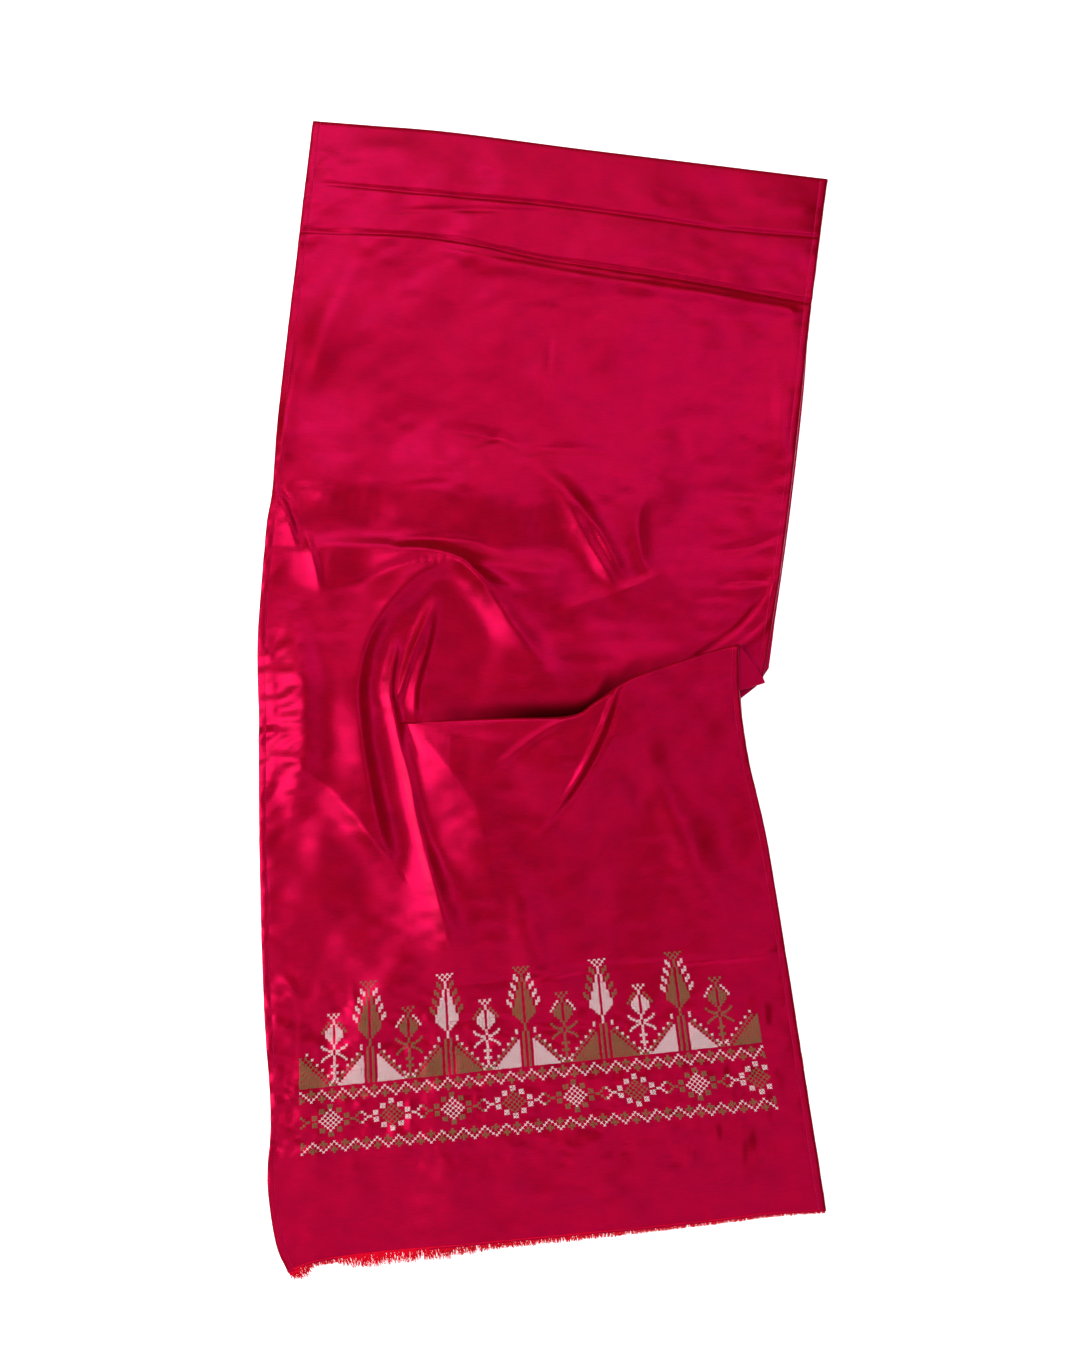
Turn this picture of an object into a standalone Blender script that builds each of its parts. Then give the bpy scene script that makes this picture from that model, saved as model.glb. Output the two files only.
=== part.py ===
"""A silk scarf, folded in half and laid flat, with a pleat across its right side.

Metres, +Z up, +Y towards the top fold, origin under the middle of its bounding box.
The tables below are in millimetres, seen from above.
"""

import bmesh
import bpy
import numpy as np

MM = 0.001

# Cloth: a wall for the stretch that shows, over the hidden half
CLOTH_WIDTH = 450.0
WALL = 1.2
SEAM_GAP = 0.3
BACK_RIM = 1.2
HEM_WIDTH = 7.0
HEM_RAISE = 0.2
HEM_WALL = 1.5
REST_FACE = BACK_RIM + SEAM_GAP + WALL
TOP_ROLL = 1.6
TOP_FLAT = 0.06

# Moves the tables so that the part stands centred over its origin
CENTRE_X = 0.0
CENTRE_Y = 0.8

# Outline of the stretch above the pleat: x, y
TOP_EDGE = (
    (-203, 492),
    (-153, 488),
    (-83, 482),
    (30, 467),
    (134, 454),
    (245, 440),
)
LEFT_UPPER = (
    (-203, 492),
    (-215, 377),
    (-229, 245),
    (-234, 167),
    (-239, 132),
    (-245, 38),
    (-243, -30),
)
RIGHT_UPPER = (
    (245, 440),
    (230, 333),
    (219, 245),
    (206, 141),
    (193, 55),
    (184, 4),
)

# Outline of the stretch below the pleat: x, y
LEFT_LOWER = (
    (-243, -48),
    (-241, -140),
    (-236, -265),
    (-229, -359),
    (-231, -412),
    (-224, -461),
    (-213, -487),
)
RIGHT_LOWER = (
    (163, 34),
    (163, -5),
    (171, -62),
    (186, -131),
    (202, -232),
    (214, -314),
    (232, -437),
)
CUT_END = (
    (-213, -487),
    (-188, -478),
    (-141, -472),
    (-89, -467),
    (12, -458),
    (136, -446),
    (186, -440),
    (232, -437),
)

# Pleat: the hidden inner fold, and the lip that lies on the stretch above: x, y
INNER_FOLD = (
    (-243, -30),
    (-183, -29),
    (-130, -31),
    (-111, -33),
    (-80, -45),
    (-39, -52),
    (20, -55),
    (42, -52),
    (73, -38),
    (131, -13),
    (184, 4),
)
LIP = (
    (-243, -48),
    (-183, -44),
    (-130, -35),
    (-111, -32),
    (-39, -29),
    (20, -27),
    (42, -15),
    (73, 5),
    (131, 25),
    (163, 34),
)
# How far the lip stands above the flat cloth, and how soon the cloth below it comes down
LIP_LIFT = (
    # x, height, run
    (-243, 0.0, 40),
    (-120, 0.0, 40),
    (-100, 3.0, 40),
    (-80, 5.5, 45),
    (-39, 8.5, 50),
    (0, 11.5, 52),
    (35, 13.5, 52),
    (73, 12.5, 48),
    (131, 10.0, 45),
    (184, 8.5, 40),
)
INNER_TURN = 1.15
LEAST_TURN = 2.0
FULL_OVERLAP = 16.0

# Hidden half: its outline where it shows past the edges, and its own tuck inside the pleat
BACK_RIGHT = (
    (243, 436),
    (229, 333),
    (221, 245),
    (208, 141),
    (195, 55),
    (186, 3),
    (166, -7),
    (171, -62),
    (185, -131),
    (201, -232),
    (213, -314),
    (230, -433),
)
BACK_INSET_TOP = 3.4
BACK_INSET_SIDE = 1.0
BACK_INSET_END = 4.0
BACK_SHARE_OF_FOLD = 0.12
BACK_ROWS = 44
BACK_COLUMNS = 18
TUCK_FROM = 0.72
TUCK_CLEAR = 0.5
TUCK_WRAP = 1.5
TUCK_MOST = 2.2
TUCK_LEAST = 0.8
TUCK_COLUMNS = 10

# Crests of the largest folds, from bottom to top or from left to right
FOLDS = (
    # stretch, then rows of x, y, height, width on the left, width on the right
    # hook from low left up and over to the apex
    ("both", (
        (-125, -153, 0, 12, 8),
        (-137, -130, 3, 20, 8),
        (-148, -89, 4.5, 26, 8),
        (-155, -51, 5, 30, 8),
        (-159, -13, 5, 32, 8),
        (-157, 17, 5, 32, 8),
        (-148, 46, 5, 26, 9),
        (-129, 75, 4.5, 18, 11),
        (-103, 96, 3.5, 12, 12),
        (-72, 105, 0, 9, 12),
    )),
    # finger down to the right
    ("upper", (
        (9, 4, 0, 14, 11),
        (-4, 21, 2.0, 14, 12),
        (-25, 46, 3.8, 13, 13),
        (-44, 72, 4.2, 11, 12),
        (-61, 95, 3.2, 8, 9),
        (-77, 112, 0, 8, 8),
    )),
    # long ridge past the tip
    ("both", (
        (-74, -236, 0, 8, 12),
        (-84, -207, 1.6, 8, 10),
        (-92, -175, 2, 8, 8),
        (-101, -142, 2.2, 8, 8),
        (-109, -112, 2.2, 8, 8),
        (-115, -81, 2.2, 8, 8),
        (-123, -51, 2.2, 8, 8),
        (-128, -28, 2.2, 8, 8),
        (-132, -7, 2.2, 8, 8),
        (-131, 11, 2, 8, 8),
        (-128, 28, 1.2, 8, 8),
        (-129, 40, 0, 8, 8),
    )),
    # broad shoulder right of the ridge
    ("lower", (
        (-28, -252, 0, 30, 22),
        (-38, -202, 3.2, 32, 34),
        (-45, -165, 4.4, 32, 40),
        (-50, -133, 4.8, 32, 40),
        (-57, -108, 4.6, 30, 36),
        (-71, -85, 4, 24, 28),
        (-89, -62, 2.6, 14, 18),
        (-99, -50, 1.4, 8, 10),
        (-108, -36, 0, 8, 8),
    )),
    # broad shoulder left of the ridge
    ("lower", (
        (-60, -281, 0, 30, 24),
        (-75, -232, 3.6, 28, 24),
        (-88, -186, 4.4, 22, 16),
        (-98, -155, 3, 14, 10),
        (-107, -130, 0, 8, 8),
    )),
    # foot of the hook
    ("both", (
        (-121, -157, 0, 8, 12),
        (-139, -138, 2.4, 8, 14),
        (-162, -110, 3.4, 11, 16),
        (-187, -84, 3, 13, 18),
        (-208, -71, 1.6, 12, 16),
        (-222, -66, 0, 10, 14),
    )),
    # left bulge
    ("both", (
        (-219, -98, 0, 12, 14),
        (-216, -68, 1.6, 12, 14),
        (-218, -30, 2.2, 12, 15),
        (-219, 8, 2.2, 12, 15),
        (-222, 40, 0, 12, 12),
    )),
    # broad ridge under the valley
    ("upper", (
        (-223, 113, 0, 18, 20),
        (-184, 119, 4, 16, 26),
        (-125, 116, 4.5, 15, 26),
        (-65, 105, 4.5, 15, 26),
        (-14, 96, 3, 16, 24),
        (25, 92, 0, 16, 20),
    )),
    # first cup ridge
    ("upper", (
        (62, 82, 0, 8, 8),
        (51, 98, 2.2, 8, 8),
        (36, 124, 3, 9, 8),
        (21, 151, 2.8, 12, 8),
        (2, 177, 1.8, 14, 10),
        (-22, 200, 0, 14, 12),
    )),
    # third cup ridge
    ("upper", (
        (91, 88, 0, 8, 10),
        (82, 106, 2, 8, 12),
        (78, 128, 2, 8, 14),
        (81, 151, 1.6, 10, 14),
        (93, 174, 0, 10, 14),
    )),
    # right margin above the pleat
    ("upper", (
        (186, 45, 0, 22, 10),
        (198, 106, 2.5, 26, 10),
        (210, 184, 3, 28, 10),
        (219, 245, 2.5, 26, 10),
        (230, 311, 0, 22, 10),
    )),
    # left margin near the top
    ("upper", (
        (-210, 244, 0, 8, 10),
        (-196, 287, 2.5, 14, 16),
        (-183, 324, 2.5, 16, 18),
        (-166, 358, 0, 12, 14),
    )),
    # brow over the pocket
    ("upper", (
        (-100, -15, 0, 14, 8),
        (-71, -8, 2, 20, 10),
        (-30, -2, 3.6, 26, 12),
        (12, 2, 4.2, 28, 13),
        (46, 7, 3.4, 26, 11),
        (80, 17, 1.6, 22, 9),
        (114, 25, 0, 16, 8),
    )),
    # swell right of the flap
    ("lower", (
        (142, -211, 0, 16, 18),
        (130, -165, 2.5, 18, 20),
        (109, -115, 3, 16, 18),
        (92, -77, 2, 14, 16),
        (80, -51, 0, 12, 14),
    )),
    # right margin below the pleat
    ("lower", (
        (209, -223, 0, 24, 10),
        (195, -157, 2.5, 26, 10),
        (178, -98, 2.5, 26, 10),
        (168, -47, 0, 20, 10),
    )),
    # swell at the end, middle
    ("lower", (
        (-73, -457, 0, 18, 16),
        (-78, -420, 2.5, 18, 16),
        (-86, -388, 2.5, 16, 16),
        (-93, -363, 0, 12, 12),
    )),
    # swell at the end, right
    ("lower", (
        (162, -446, 0, 20, 14),
        (158, -412, 2.5, 20, 14),
        (155, -378, 0, 14, 12),
    )),
    # swell at the end, left
    ("lower", (
        (-186, -433, 0, 14, 16),
        (-193, -388, 2.5, 16, 16),
        (-201, -347, 2.5, 14, 16),
        (-204, -314, 0, 12, 12),
    )),
    # swell over the trees, left
    ("lower", (
        (-168, -331, 0, 14, 16),
        (-145, -273, 2.5, 16, 16),
        (-124, -232, 2.5, 16, 16),
        (-110, -198, 0, 12, 12),
    )),
    # swell over the trees, middle
    ("lower", (
        (12, -256, 0, 14, 16),
        (-13, -223, 2.5, 16, 16),
        (-22, -182, 2.5, 16, 16),
        (-34, -140, 0, 12, 12),
    )),
    # ridge beside the main crease
    ("upper", (
        (-109, 380, 0, 8, 8),
        (-40, 367, 1.2, 8, 9),
        (47, 351, 1.2, 8, 9),
        (133, 338, 1.6, 8, 9),
        (211, 324, 1.0, 8, 8),
    )),
)

# Fringe: locks of loose threads along the cut end
FRINGE_LOCKS = 84
FRINGE_STRIP = 1.6
FRINGE_STRIP_WALL = 0.8
LOCK_TIP_HEIGHT = 0.5
LOCK_TIP_SHARE = 0.35
FRINGE_DROP = 4.0
FRINGE_LENGTHS = (
    # share of the way from left to right, length
    (0.00, 5.0),
    (0.03, 9.0),
    (0.05, 2.5),
    (0.09, 3.0),
    (0.12, 9.5),
    (0.30, 9.0),
    (0.38, 5.0),
    (0.55, 4.0),
    (0.75, 2.5),
    (1.00, 1.6),
)

# Rows and columns of the cloth walls
COLUMN_PLACES = ((0.0, 0), (0.10, 4), (0.52, 25), (1.0, 37))
UPPER_ROWS = 21
MID_ROWS = 2
TURN_ROWS = 4
LOWER_ROWS = 20

CRIMSON = (0.50, 0.004, 0.035, 1.0)
CRIMSON_HEM = (0.42, 0.003, 0.03, 1.0)
CRIMSON_DEEP = (0.33, 0.002, 0.022, 1.0)
FRINGE_RED = (0.78, 0.03, 0.06, 1.0)


def clear_scene():
    for thing in list(bpy.data.objects):
        bpy.data.objects.remove(thing, do_unlink=True)


def smooth(share):
    """0 to 1 with a soft start and a soft end."""
    share = np.clip(share, 0.0, 1.0)
    return share * share * (3.0 - 2.0 * share)


def soft_line(table, shares):
    """Points at shares of the length of the smooth line through a table's points."""
    points = np.array(table, float)
    before = np.vstack([2 * points[0] - points[1], points[:-1]])[:-1]
    after = np.vstack([points[1:], 2 * points[-1] - points[-2]])[1:]
    start, end = points[:-1], points[1:]
    step = np.linspace(0.0, 1.0, 12, endpoint=False)[:, None, None]
    dense = 0.5 * (
        2 * start
        + (end - before) * step
        + (2 * before - 5 * start + 4 * end - after) * step**2
        + (3 * start - before - 3 * end + after) * step**3
    )
    width = points.shape[1]
    dense = np.vstack([dense.transpose(1, 0, 2).reshape(-1, width), points[-1]])
    travelled = np.hypot(*np.diff(dense[:, :2], axis=0).T).cumsum()
    travelled = np.concatenate([[0.0], travelled]) / travelled[-1]
    return np.stack([np.interp(shares, travelled, column) for column in dense.T], axis=-1)


def outward(table, shares):
    """Unit directions down the cloth, square to the smooth line through a table's points."""
    ahead = soft_line(table, np.minimum(shares + 0.01, 1))
    beside = ahead - soft_line(table, np.maximum(shares - 0.01, 0))
    return np.stack([beside[:, 1], -beside[:, 0]], axis=-1) / np.hypot(*beside.T)[:, None]


def patch(top, bottom, left, right, across, along):
    """Plan points of a stretch between its four edges: a row for each step along it."""
    u = across[None, :, None]
    v = along[:, None, None]
    sides = (1 - u) * left[:, None, :] + u * right[:, None, :]
    ends = (1 - v) * top[None] + v * bottom[None]
    corners = (1 - v) * ((1 - u) * top[0] + u * top[-1])
    corners = corners + v * ((1 - u) * bottom[0] + u * bottom[-1])
    return sides + ends - corners


def fold_height(places, stretch):
    """Height that the folds of one stretch give at plan places."""
    x, y = places[..., 0], places[..., 1]
    height = np.zeros(x.shape)
    for on, crest in FOLDS:
        if on not in ("both", stretch):
            continue
        line = soft_line(crest, np.linspace(0, 1, 4 * len(crest)))
        rise = np.zeros(x.shape)
        for start, end in zip(line[:-1], line[1:]):
            ahead = end[:2] - start[:2]
            share = ((x - start[0]) * ahead[0] + (y - start[1]) * ahead[1]) / (ahead @ ahead)
            share = np.clip(share, 0, 1)
            off_x = x - start[0] - share * ahead[0]
            off_y = y - start[1] - share * ahead[1]
            distance = np.hypot(off_x, off_y)
            crest_height, left, right = (start[k] + share * (end[k] - start[k]) for k in (2, 3, 4))
            width = np.where(ahead[0] * off_y - ahead[1] * off_x > 0, left, right)
            rise = np.maximum(rise, crest_height * np.exp(-((distance / width) ** 2)))
        height += rise
    return height


def table_at(table, x, column):
    rows = np.array(table, float)
    return np.interp(x, rows[:, 0], rows[:, column])


class Pleat:
    """The lines and heights of the pleat, for each column of the cloth."""

    def __init__(self, across):
        self.inner = soft_line(INNER_FOLD, across)
        self.lip = soft_line(LIP, across)
        self.down = outward(LIP, across)
        self.overlap = ((self.inner - self.lip) * self.down).sum(axis=1)
        self.folded = smooth(self.overlap / FULL_OVERLAP)
        self.lift = table_at(LIP_LIFT, self.lip[:, 0], 1)
        self.run = table_at(LIP_LIFT, self.lip[:, 0], 2)
        self.inner_rise = fold_height(self.inner, "upper")
        self.lip_rise = fold_height(self.lip, "lower") + self.lift
        self.mid_rise = self.inner_rise + 2 * INNER_TURN
        self.lip_turn = np.maximum(self.lip_rise - self.mid_rise, 2 * LEAST_TURN) / 2

    def lift_below(self, distance):
        """Height that the lip gives the cloth below it, which stays up over the layers under it."""
        past = np.maximum(distance - np.maximum(self.overlap, 0), 0)
        return self.lift * np.exp(-((past / self.run) ** 2))

    def rows(self):
        """Rows of the cloth round the inner fold, between the folds and round the lip."""
        turn = np.radians(np.linspace(-90, 90, TURN_ROWS + 1))[:, None]
        inner_in = INNER_TURN * (1 - np.cos(turn)) * np.ones_like(self.overlap)
        inner_rows = self.inner - inner_in[..., None] * self.down
        inner_rise = self.inner_rise + INNER_TURN * (1 + np.sin(turn))
        lip_in = self.lip_turn * (1 - np.cos(turn))
        lip_rows = self.lip + lip_in[..., None] * self.down
        lip_rise = self.lip_rise - self.lip_turn * (1 - np.sin(turn))
        step = np.linspace(0, 1, MID_ROWS + 2)[1:-1, None]
        mid_rows = inner_rows[-1] * (1 - step[..., None]) + lip_rows[0] * step[..., None]
        mid_rise = inner_rise[-1] * (1 - step) + lip_rise[0] * step
        plan = np.concatenate([inner_rows, mid_rows, lip_rows])
        rise = np.concatenate([inner_rise, mid_rise, lip_rise])
        # Where the pleat has died out, the same rows lie one after another
        ramp = np.linspace(0, 1, len(plan))[:, None]
        flat = self.inner * (1 - ramp[..., None]) + self.lip * ramp[..., None]
        low = fold_height(flat, "lower") + self.lift
        flat_rise = fold_height(flat, "upper") * (1 - smooth(ramp)) + low * smooth(ramp)
        folded = self.folded[:, None]
        plan = folded * plan + (1 - folded) * flat
        return plan, self.folded * rise + (1 - self.folded) * flat_rise


def cloth_points(across, raise_by=0.0):
    """The face of the stretch that shows, as a grid of points: rows from the top fold down."""
    across = np.concatenate([[0.0], across, [1.0]])
    pleat = Pleat(across)
    pleat_plan, pleat_rise = pleat.rows()

    steps = np.linspace(0, 1, UPPER_ROWS + 1)
    edges = (soft_line(LEFT_UPPER, steps), soft_line(RIGHT_UPPER, steps))
    upper = patch(soft_line(TOP_EDGE, across), pleat_plan[0], *edges, across, steps)
    upper_rise = fold_height(upper, "upper") * smooth(steps / TOP_FLAT)[:, None]

    steps = np.linspace(0, 1, LOWER_ROWS + 1)
    edges = (soft_line(LEFT_LOWER, steps), soft_line(RIGHT_LOWER, steps))
    lower = patch(pleat_plan[-1], soft_line(CUT_END, across), *edges, across, steps)
    below = np.hypot(*(lower - lower[:1]).transpose(2, 0, 1))
    lower_rise = fold_height(lower, "lower") + pleat.lift_below(below)

    # The top edge rolls down towards the table
    roll = np.radians(np.array([90.0, 60.0, 30.0]))[:, None]
    rolled = np.repeat(upper[:1], len(roll), axis=0)
    rolled[..., 1] -= TOP_ROLL * (1 - np.sin(roll))
    roll_fall = (REST_FACE - WALL) * (np.cos(roll) - 1) * np.ones_like(across)

    plan = np.concatenate([rolled, upper[1:-1], pleat_plan, lower[1:]])
    rise = np.concatenate([roll_fall, upper_rise[1:-1], pleat_rise, lower_rise[1:]])
    face = REST_FACE + raise_by + rise
    return np.concatenate([plan, face[..., None]], axis=-1)[:, 1:-1]


def shift(points):
    """Table millimetres to metres over the part's origin."""
    return (points + np.array([CENTRE_X, CENTRE_Y, 0.0])) * MM


def add_sheet(bm, points):
    """Adds an open sheet through a grid of points."""
    rows, columns = points.shape[:2]
    made = bmesh.ops.create_grid(bm, x_segments=columns - 1, y_segments=rows - 1, size=0.5)
    in_order = sorted(made["verts"], key=lambda v: (-round(v.co.y, 4), round(v.co.x, 4)))
    for vert, place in zip(in_order, shift(points).reshape(-1, 3)):
        vert.co = place
    return in_order


def new_object(name, bm, collection, material):
    mesh = bpy.data.meshes.new(name)
    bm.to_mesh(mesh)
    bm.free()
    mesh.materials.append(material)
    mesh.shade_smooth()
    thing = bpy.data.objects.new(name, mesh)
    collection.objects.link(thing)
    return thing


def cloth_wall(name, across, thickness, collection, material, raise_by=0.0):
    """One piece of the cloth that shows, as a wall under its face."""
    bm = bmesh.new()
    add_sheet(bm, cloth_points(across, raise_by))
    thing = new_object(name, bm, collection, material)
    solid = thing.modifiers.new("Wall", "SOLIDIFY")
    solid.thickness = thickness * MM
    solid.offset = -1.0
    return thing


def closed_between(plan, top, bottom):
    """A closed mesh over a grid of plan points, between two heights at each of them."""
    bm = bmesh.new()
    add_sheet(bm, np.concatenate([plan, top[..., None]], axis=-1))
    lows = add_sheet(bm, np.concatenate([plan, bottom[..., None]], axis=-1))
    rims = [edge for edge in bm.edges if edge.is_boundary]
    bmesh.ops.bridge_loops(bm, edges=rims)
    bmesh.ops.recalc_face_normals(bm, faces=bm.faces[:])
    return bm, lows


def hidden_half(collection, material):
    """The back half: one rounded piece, flat underneath, that rises a little under the folds."""
    steps = np.linspace(0, 1, BACK_ROWS + 1)
    across = np.linspace(0, 1, BACK_COLUMNS + 1)
    left = soft_line(LEFT_UPPER + LEFT_LOWER, steps)
    inset = BACK_INSET_END * steps - BACK_INSET_TOP * (1 - steps)
    left = left + np.stack([BACK_INSET_SIDE + 0 * steps, inset], axis=-1)
    edges = (left, soft_line(BACK_RIGHT, steps))
    top = soft_line(TOP_EDGE, across) - (0, BACK_INSET_TOP)
    end = soft_line(CUT_END, across) + (0, BACK_INSET_END)
    plan = patch(top, end, *edges, across, steps)
    pleat_line = table_at(INNER_FOLD, plan[..., 0], 1)
    above = plan[..., 1] > pleat_line
    folds = np.where(above, fold_height(plan, "upper"), fold_height(plan, "lower"))
    inboard = smooth(across / 0.1) * smooth((1 - across) / 0.1)
    rise = BACK_SHARE_OF_FOLD * inboard * np.maximum(folds, 0)
    bm, lows = closed_between(plan, BACK_RIM + rise, 0 * rise)
    flat = {edge for vert in lows for edge in vert.link_edges}
    bmesh.ops.dissolve_limit(bm, angle_limit=0.001, verts=lows, edges=list(flat))
    new_object("silk_back", bm, collection, material)


def hidden_tuck(collection, material):
    """The hidden half's own fold, inside the pleat and round the outside of its inner fold."""
    across = np.linspace(TUCK_FROM, 1.0, TUCK_COLUMNS + 1)
    pleat = Pleat(across)
    towards = pleat.inner - pleat.lip
    depth = np.hypot(*towards.T)
    near = (pleat.lip_turn + 1.0) / depth
    steps = np.array([0.0, 0.25, 0.5, 0.75, 1.0])[:, None]
    shares = near * (1 - steps) + (1 - 1.0 / depth) * steps
    inside = pleat.lip + towards * shares[..., None]
    past = HEM_WALL + TUCK_CLEAR
    reaches = (past, past + SEAM_GAP, past + TUCK_WRAP)
    wrap = [pleat.inner + pleat.down * reach for reach in reaches]
    plan = np.concatenate([inside, wrap])
    away = ((plan - pleat.lip) * pleat.down).sum(axis=-1)
    flap = fold_height(plan, "lower") + pleat.lift_below(away)
    under_flap = REST_FACE + flap - HEM_WALL - TUCK_CLEAR
    over_mid = REST_FACE + pleat.mid_rise + HEM_WALL + TUCK_CLEAR
    low = np.repeat(over_mid[None], len(plan), axis=0)
    low[-2:] = BACK_RIM + SEAM_GAP
    top = np.minimum(under_flap, over_mid + TUCK_MOST)
    top = np.maximum(top, low + TUCK_LEAST)
    bm, _ = closed_between(plan, top, low)
    new_object("silk_back_tuck", bm, collection, material)


def fringe(collection, material):
    """Locks of loose threads on a narrow strip just outside the cut end."""
    cells = 2 * FRINGE_LOCKS
    across = np.linspace(0.002, 0.985, cells + 1)
    end = soft_line(CUT_END, across)
    out = outward(CUT_END, across)
    plan = np.stack([end + out * reach for reach in (SEAM_GAP, SEAM_GAP + FRINGE_STRIP)])
    low = np.full(plan.shape[:2], BACK_RIM + SEAM_GAP)
    bm, _ = closed_between(plan, low + FRINGE_STRIP_WALL, low)
    bm.faces.ensure_lookup_table()
    facing_out = np.append(out.mean(axis=0), 0)
    sides = [face for face in bm.faces if np.dot(face.normal, facing_out) > 0.9]
    sides.sort(key=lambda face: face.calc_center_median().x)
    made = bmesh.ops.extrude_discrete_faces(bm, faces=sides[::2])
    lean = np.random.default_rng(5)
    for lock, face in enumerate(made["faces"]):
        share = lock / FRINGE_LOCKS
        length = table_at(FRINGE_LENGTHS, share, 1) * lean.uniform(0.75, 1.15)
        root = face.calc_center_median()
        side = lean.uniform(-0.25, 0.25) * length
        tip = shift(np.array([side, -length, 0.0])) - shift(np.zeros(3))
        drop = root.z - LOCK_TIP_HEIGHT * MM
        for vert in face.verts:
            spread = (vert.co - root) * LOCK_TIP_SHARE
            vert.co = root + spread
            vert.co.x += tip[0]
            vert.co.y += tip[1]
            vert.co.z -= drop * min(1.0, length / FRINGE_DROP)
    new_object("fringe", bm, collection, material)


def material_of(name, colour, roughness):
    material = bpy.data.materials.new(name)
    material.use_nodes = True
    shader = material.node_tree.nodes["Principled BSDF"]
    shader.inputs["Base Color"].default_value = colour
    shader.inputs["Roughness"].default_value = roughness
    shader.inputs["Metallic"].default_value = 0.0
    return material


def main():
    clear_scene()
    collection = bpy.data.collections.new("silk_scarf")
    bpy.context.scene.collection.children.link(collection)
    silk = material_of("crimson silk", CRIMSON, 0.35)
    hem = material_of("crimson hem", CRIMSON_HEM, 0.4)
    hidden = material_of("crimson silk in shade", CRIMSON_DEEP, 0.4)
    threads = material_of("loose threads", FRINGE_RED, 0.6)

    places = np.array(COLUMN_PLACES)
    shares = np.interp(np.arange(places[-1, 1] + 1), places[:, 1], places[:, 0])
    edge = (HEM_WIDTH + SEAM_GAP) / CLOTH_WIDTH
    cloth_wall("silk_front", edge + shares * (1 - 2 * edge), WALL, collection, silk)
    hem_across = np.array([0.0, HEM_WIDTH / CLOTH_WIDTH])
    cloth_wall("hem_left", hem_across, HEM_WALL, collection, hem, HEM_RAISE)
    cloth_wall("hem_right", 1 - hem_across[::-1], HEM_WALL, collection, hem, HEM_RAISE)
    hidden_half(collection, hidden)
    hidden_tuck(collection, hidden)
    fringe(collection, threads)


main()
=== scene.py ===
"""Looks of the silk scarf: shot silk, stitched hems, cross stitch and frayed end."""

import math

import bmesh
import bpy
import numpy as np
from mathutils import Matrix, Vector

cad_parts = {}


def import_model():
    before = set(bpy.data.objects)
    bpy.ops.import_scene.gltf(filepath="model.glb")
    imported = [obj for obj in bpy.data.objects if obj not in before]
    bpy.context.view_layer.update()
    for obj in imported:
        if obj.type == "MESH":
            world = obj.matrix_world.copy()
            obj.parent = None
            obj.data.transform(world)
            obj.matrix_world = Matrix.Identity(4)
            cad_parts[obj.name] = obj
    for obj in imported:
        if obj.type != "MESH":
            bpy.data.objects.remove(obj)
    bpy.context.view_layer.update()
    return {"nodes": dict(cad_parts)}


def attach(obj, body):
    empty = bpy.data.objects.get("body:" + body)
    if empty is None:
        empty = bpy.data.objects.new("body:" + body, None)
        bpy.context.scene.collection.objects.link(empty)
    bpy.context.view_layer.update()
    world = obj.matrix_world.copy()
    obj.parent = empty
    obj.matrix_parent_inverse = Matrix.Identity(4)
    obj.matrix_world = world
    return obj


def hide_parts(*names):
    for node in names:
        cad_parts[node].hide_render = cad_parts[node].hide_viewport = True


MM = 0.001

# Levels of the cloth over the table, in millimetres, as in the solids
CLOTH_WIDTH = 450.0
WALL = 1.2
SEAM_GAP = 0.3
BACK_RIM = 1.2
REST_FACE = BACK_RIM + SEAM_GAP + WALL
TOP_ROLL = 1.6
TOP_FLAT = 0.06
CENTRE_X = 0.0
CENTRE_Y = 0.8
LEAST_FACE = 0.35
LEAST_LEVEL = 0.05

# Outline of the stretch above the pleat: x, y
TOP_EDGE = ((-203, 492), (-153, 488), (-83, 482), (30, 467), (134, 454), (245, 440))
LEFT_UPPER = (
    (-203, 492),
    (-215, 377),
    (-229, 245),
    (-234, 167),
    (-239, 132),
    (-245, 38),
    (-243, -30),
)
RIGHT_UPPER = ((245, 440), (230, 333), (219, 245), (206, 141), (193, 55), (184, 4))

# Outline of the stretch below the pleat: x, y
LEFT_LOWER = (
    (-243, -48),
    (-241, -140),
    (-236, -265),
    (-229, -359),
    (-231, -412),
    (-224, -461),
    (-213, -487),
)
RIGHT_LOWER = (
    (163, 34),
    (163, -5),
    (171, -62),
    (186, -131),
    (202, -232),
    (214, -314),
    (232, -437),
)
CUT_END = (
    (-213, -487),
    (-188, -478),
    (-141, -472),
    (-89, -467),
    (12, -458),
    (136, -446),
    (186, -440),
    (232, -437),
)

# Pleat: the hidden inner fold, and the lip that lies on the stretch above: x, y
INNER_FOLD = (
    (-243, -30),
    (-183, -29),
    (-130, -31),
    (-111, -33),
    (-80, -45),
    (-39, -52),
    (20, -55),
    (42, -52),
    (73, -38),
    (131, -13),
    (184, 4),
)
LIP = (
    (-243, -48),
    (-183, -44),
    (-130, -35),
    (-111, -32),
    (-39, -29),
    (20, -27),
    (42, -15),
    (73, 5),
    (131, 25),
    (163, 34),
)
LIP_LIFT = (
    # x, height, run
    (-243, 0.0, 40),
    (-120, 0.0, 40),
    (-100, 3.0, 40),
    (-80, 5.5, 45),
    (-39, 8.5, 50),
    (0, 11.5, 52),
    (35, 13.5, 52),
    (73, 12.5, 48),
    (131, 10.0, 45),
    (184, 8.5, 40),
)
INNER_TURN = 1.15
LEAST_TURN = 2.0
FULL_OVERLAP = 16.0
LIP_REACH = 2.0
DEEPEST = 1.2
# Painted shade of the pocket: how strongly the silk's colour is darkened above the lip, along the
# lip
SHADE = (
    # x, strength, reach above the lip
    (-112, 0.0, 4),
    (-103, 0.35, 13),
    (-80, 0.5, 15),
    (-50, 0.7, 15),
    (-20, 0.95, 14),
    (25, 1.0, 14),
    (45, 0.55, 11),
    (65, 0.25, 9),
    (95, 0.15, 8),
    (135, 0.1, 7),
    (160, 0.0, 7),
)

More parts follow.
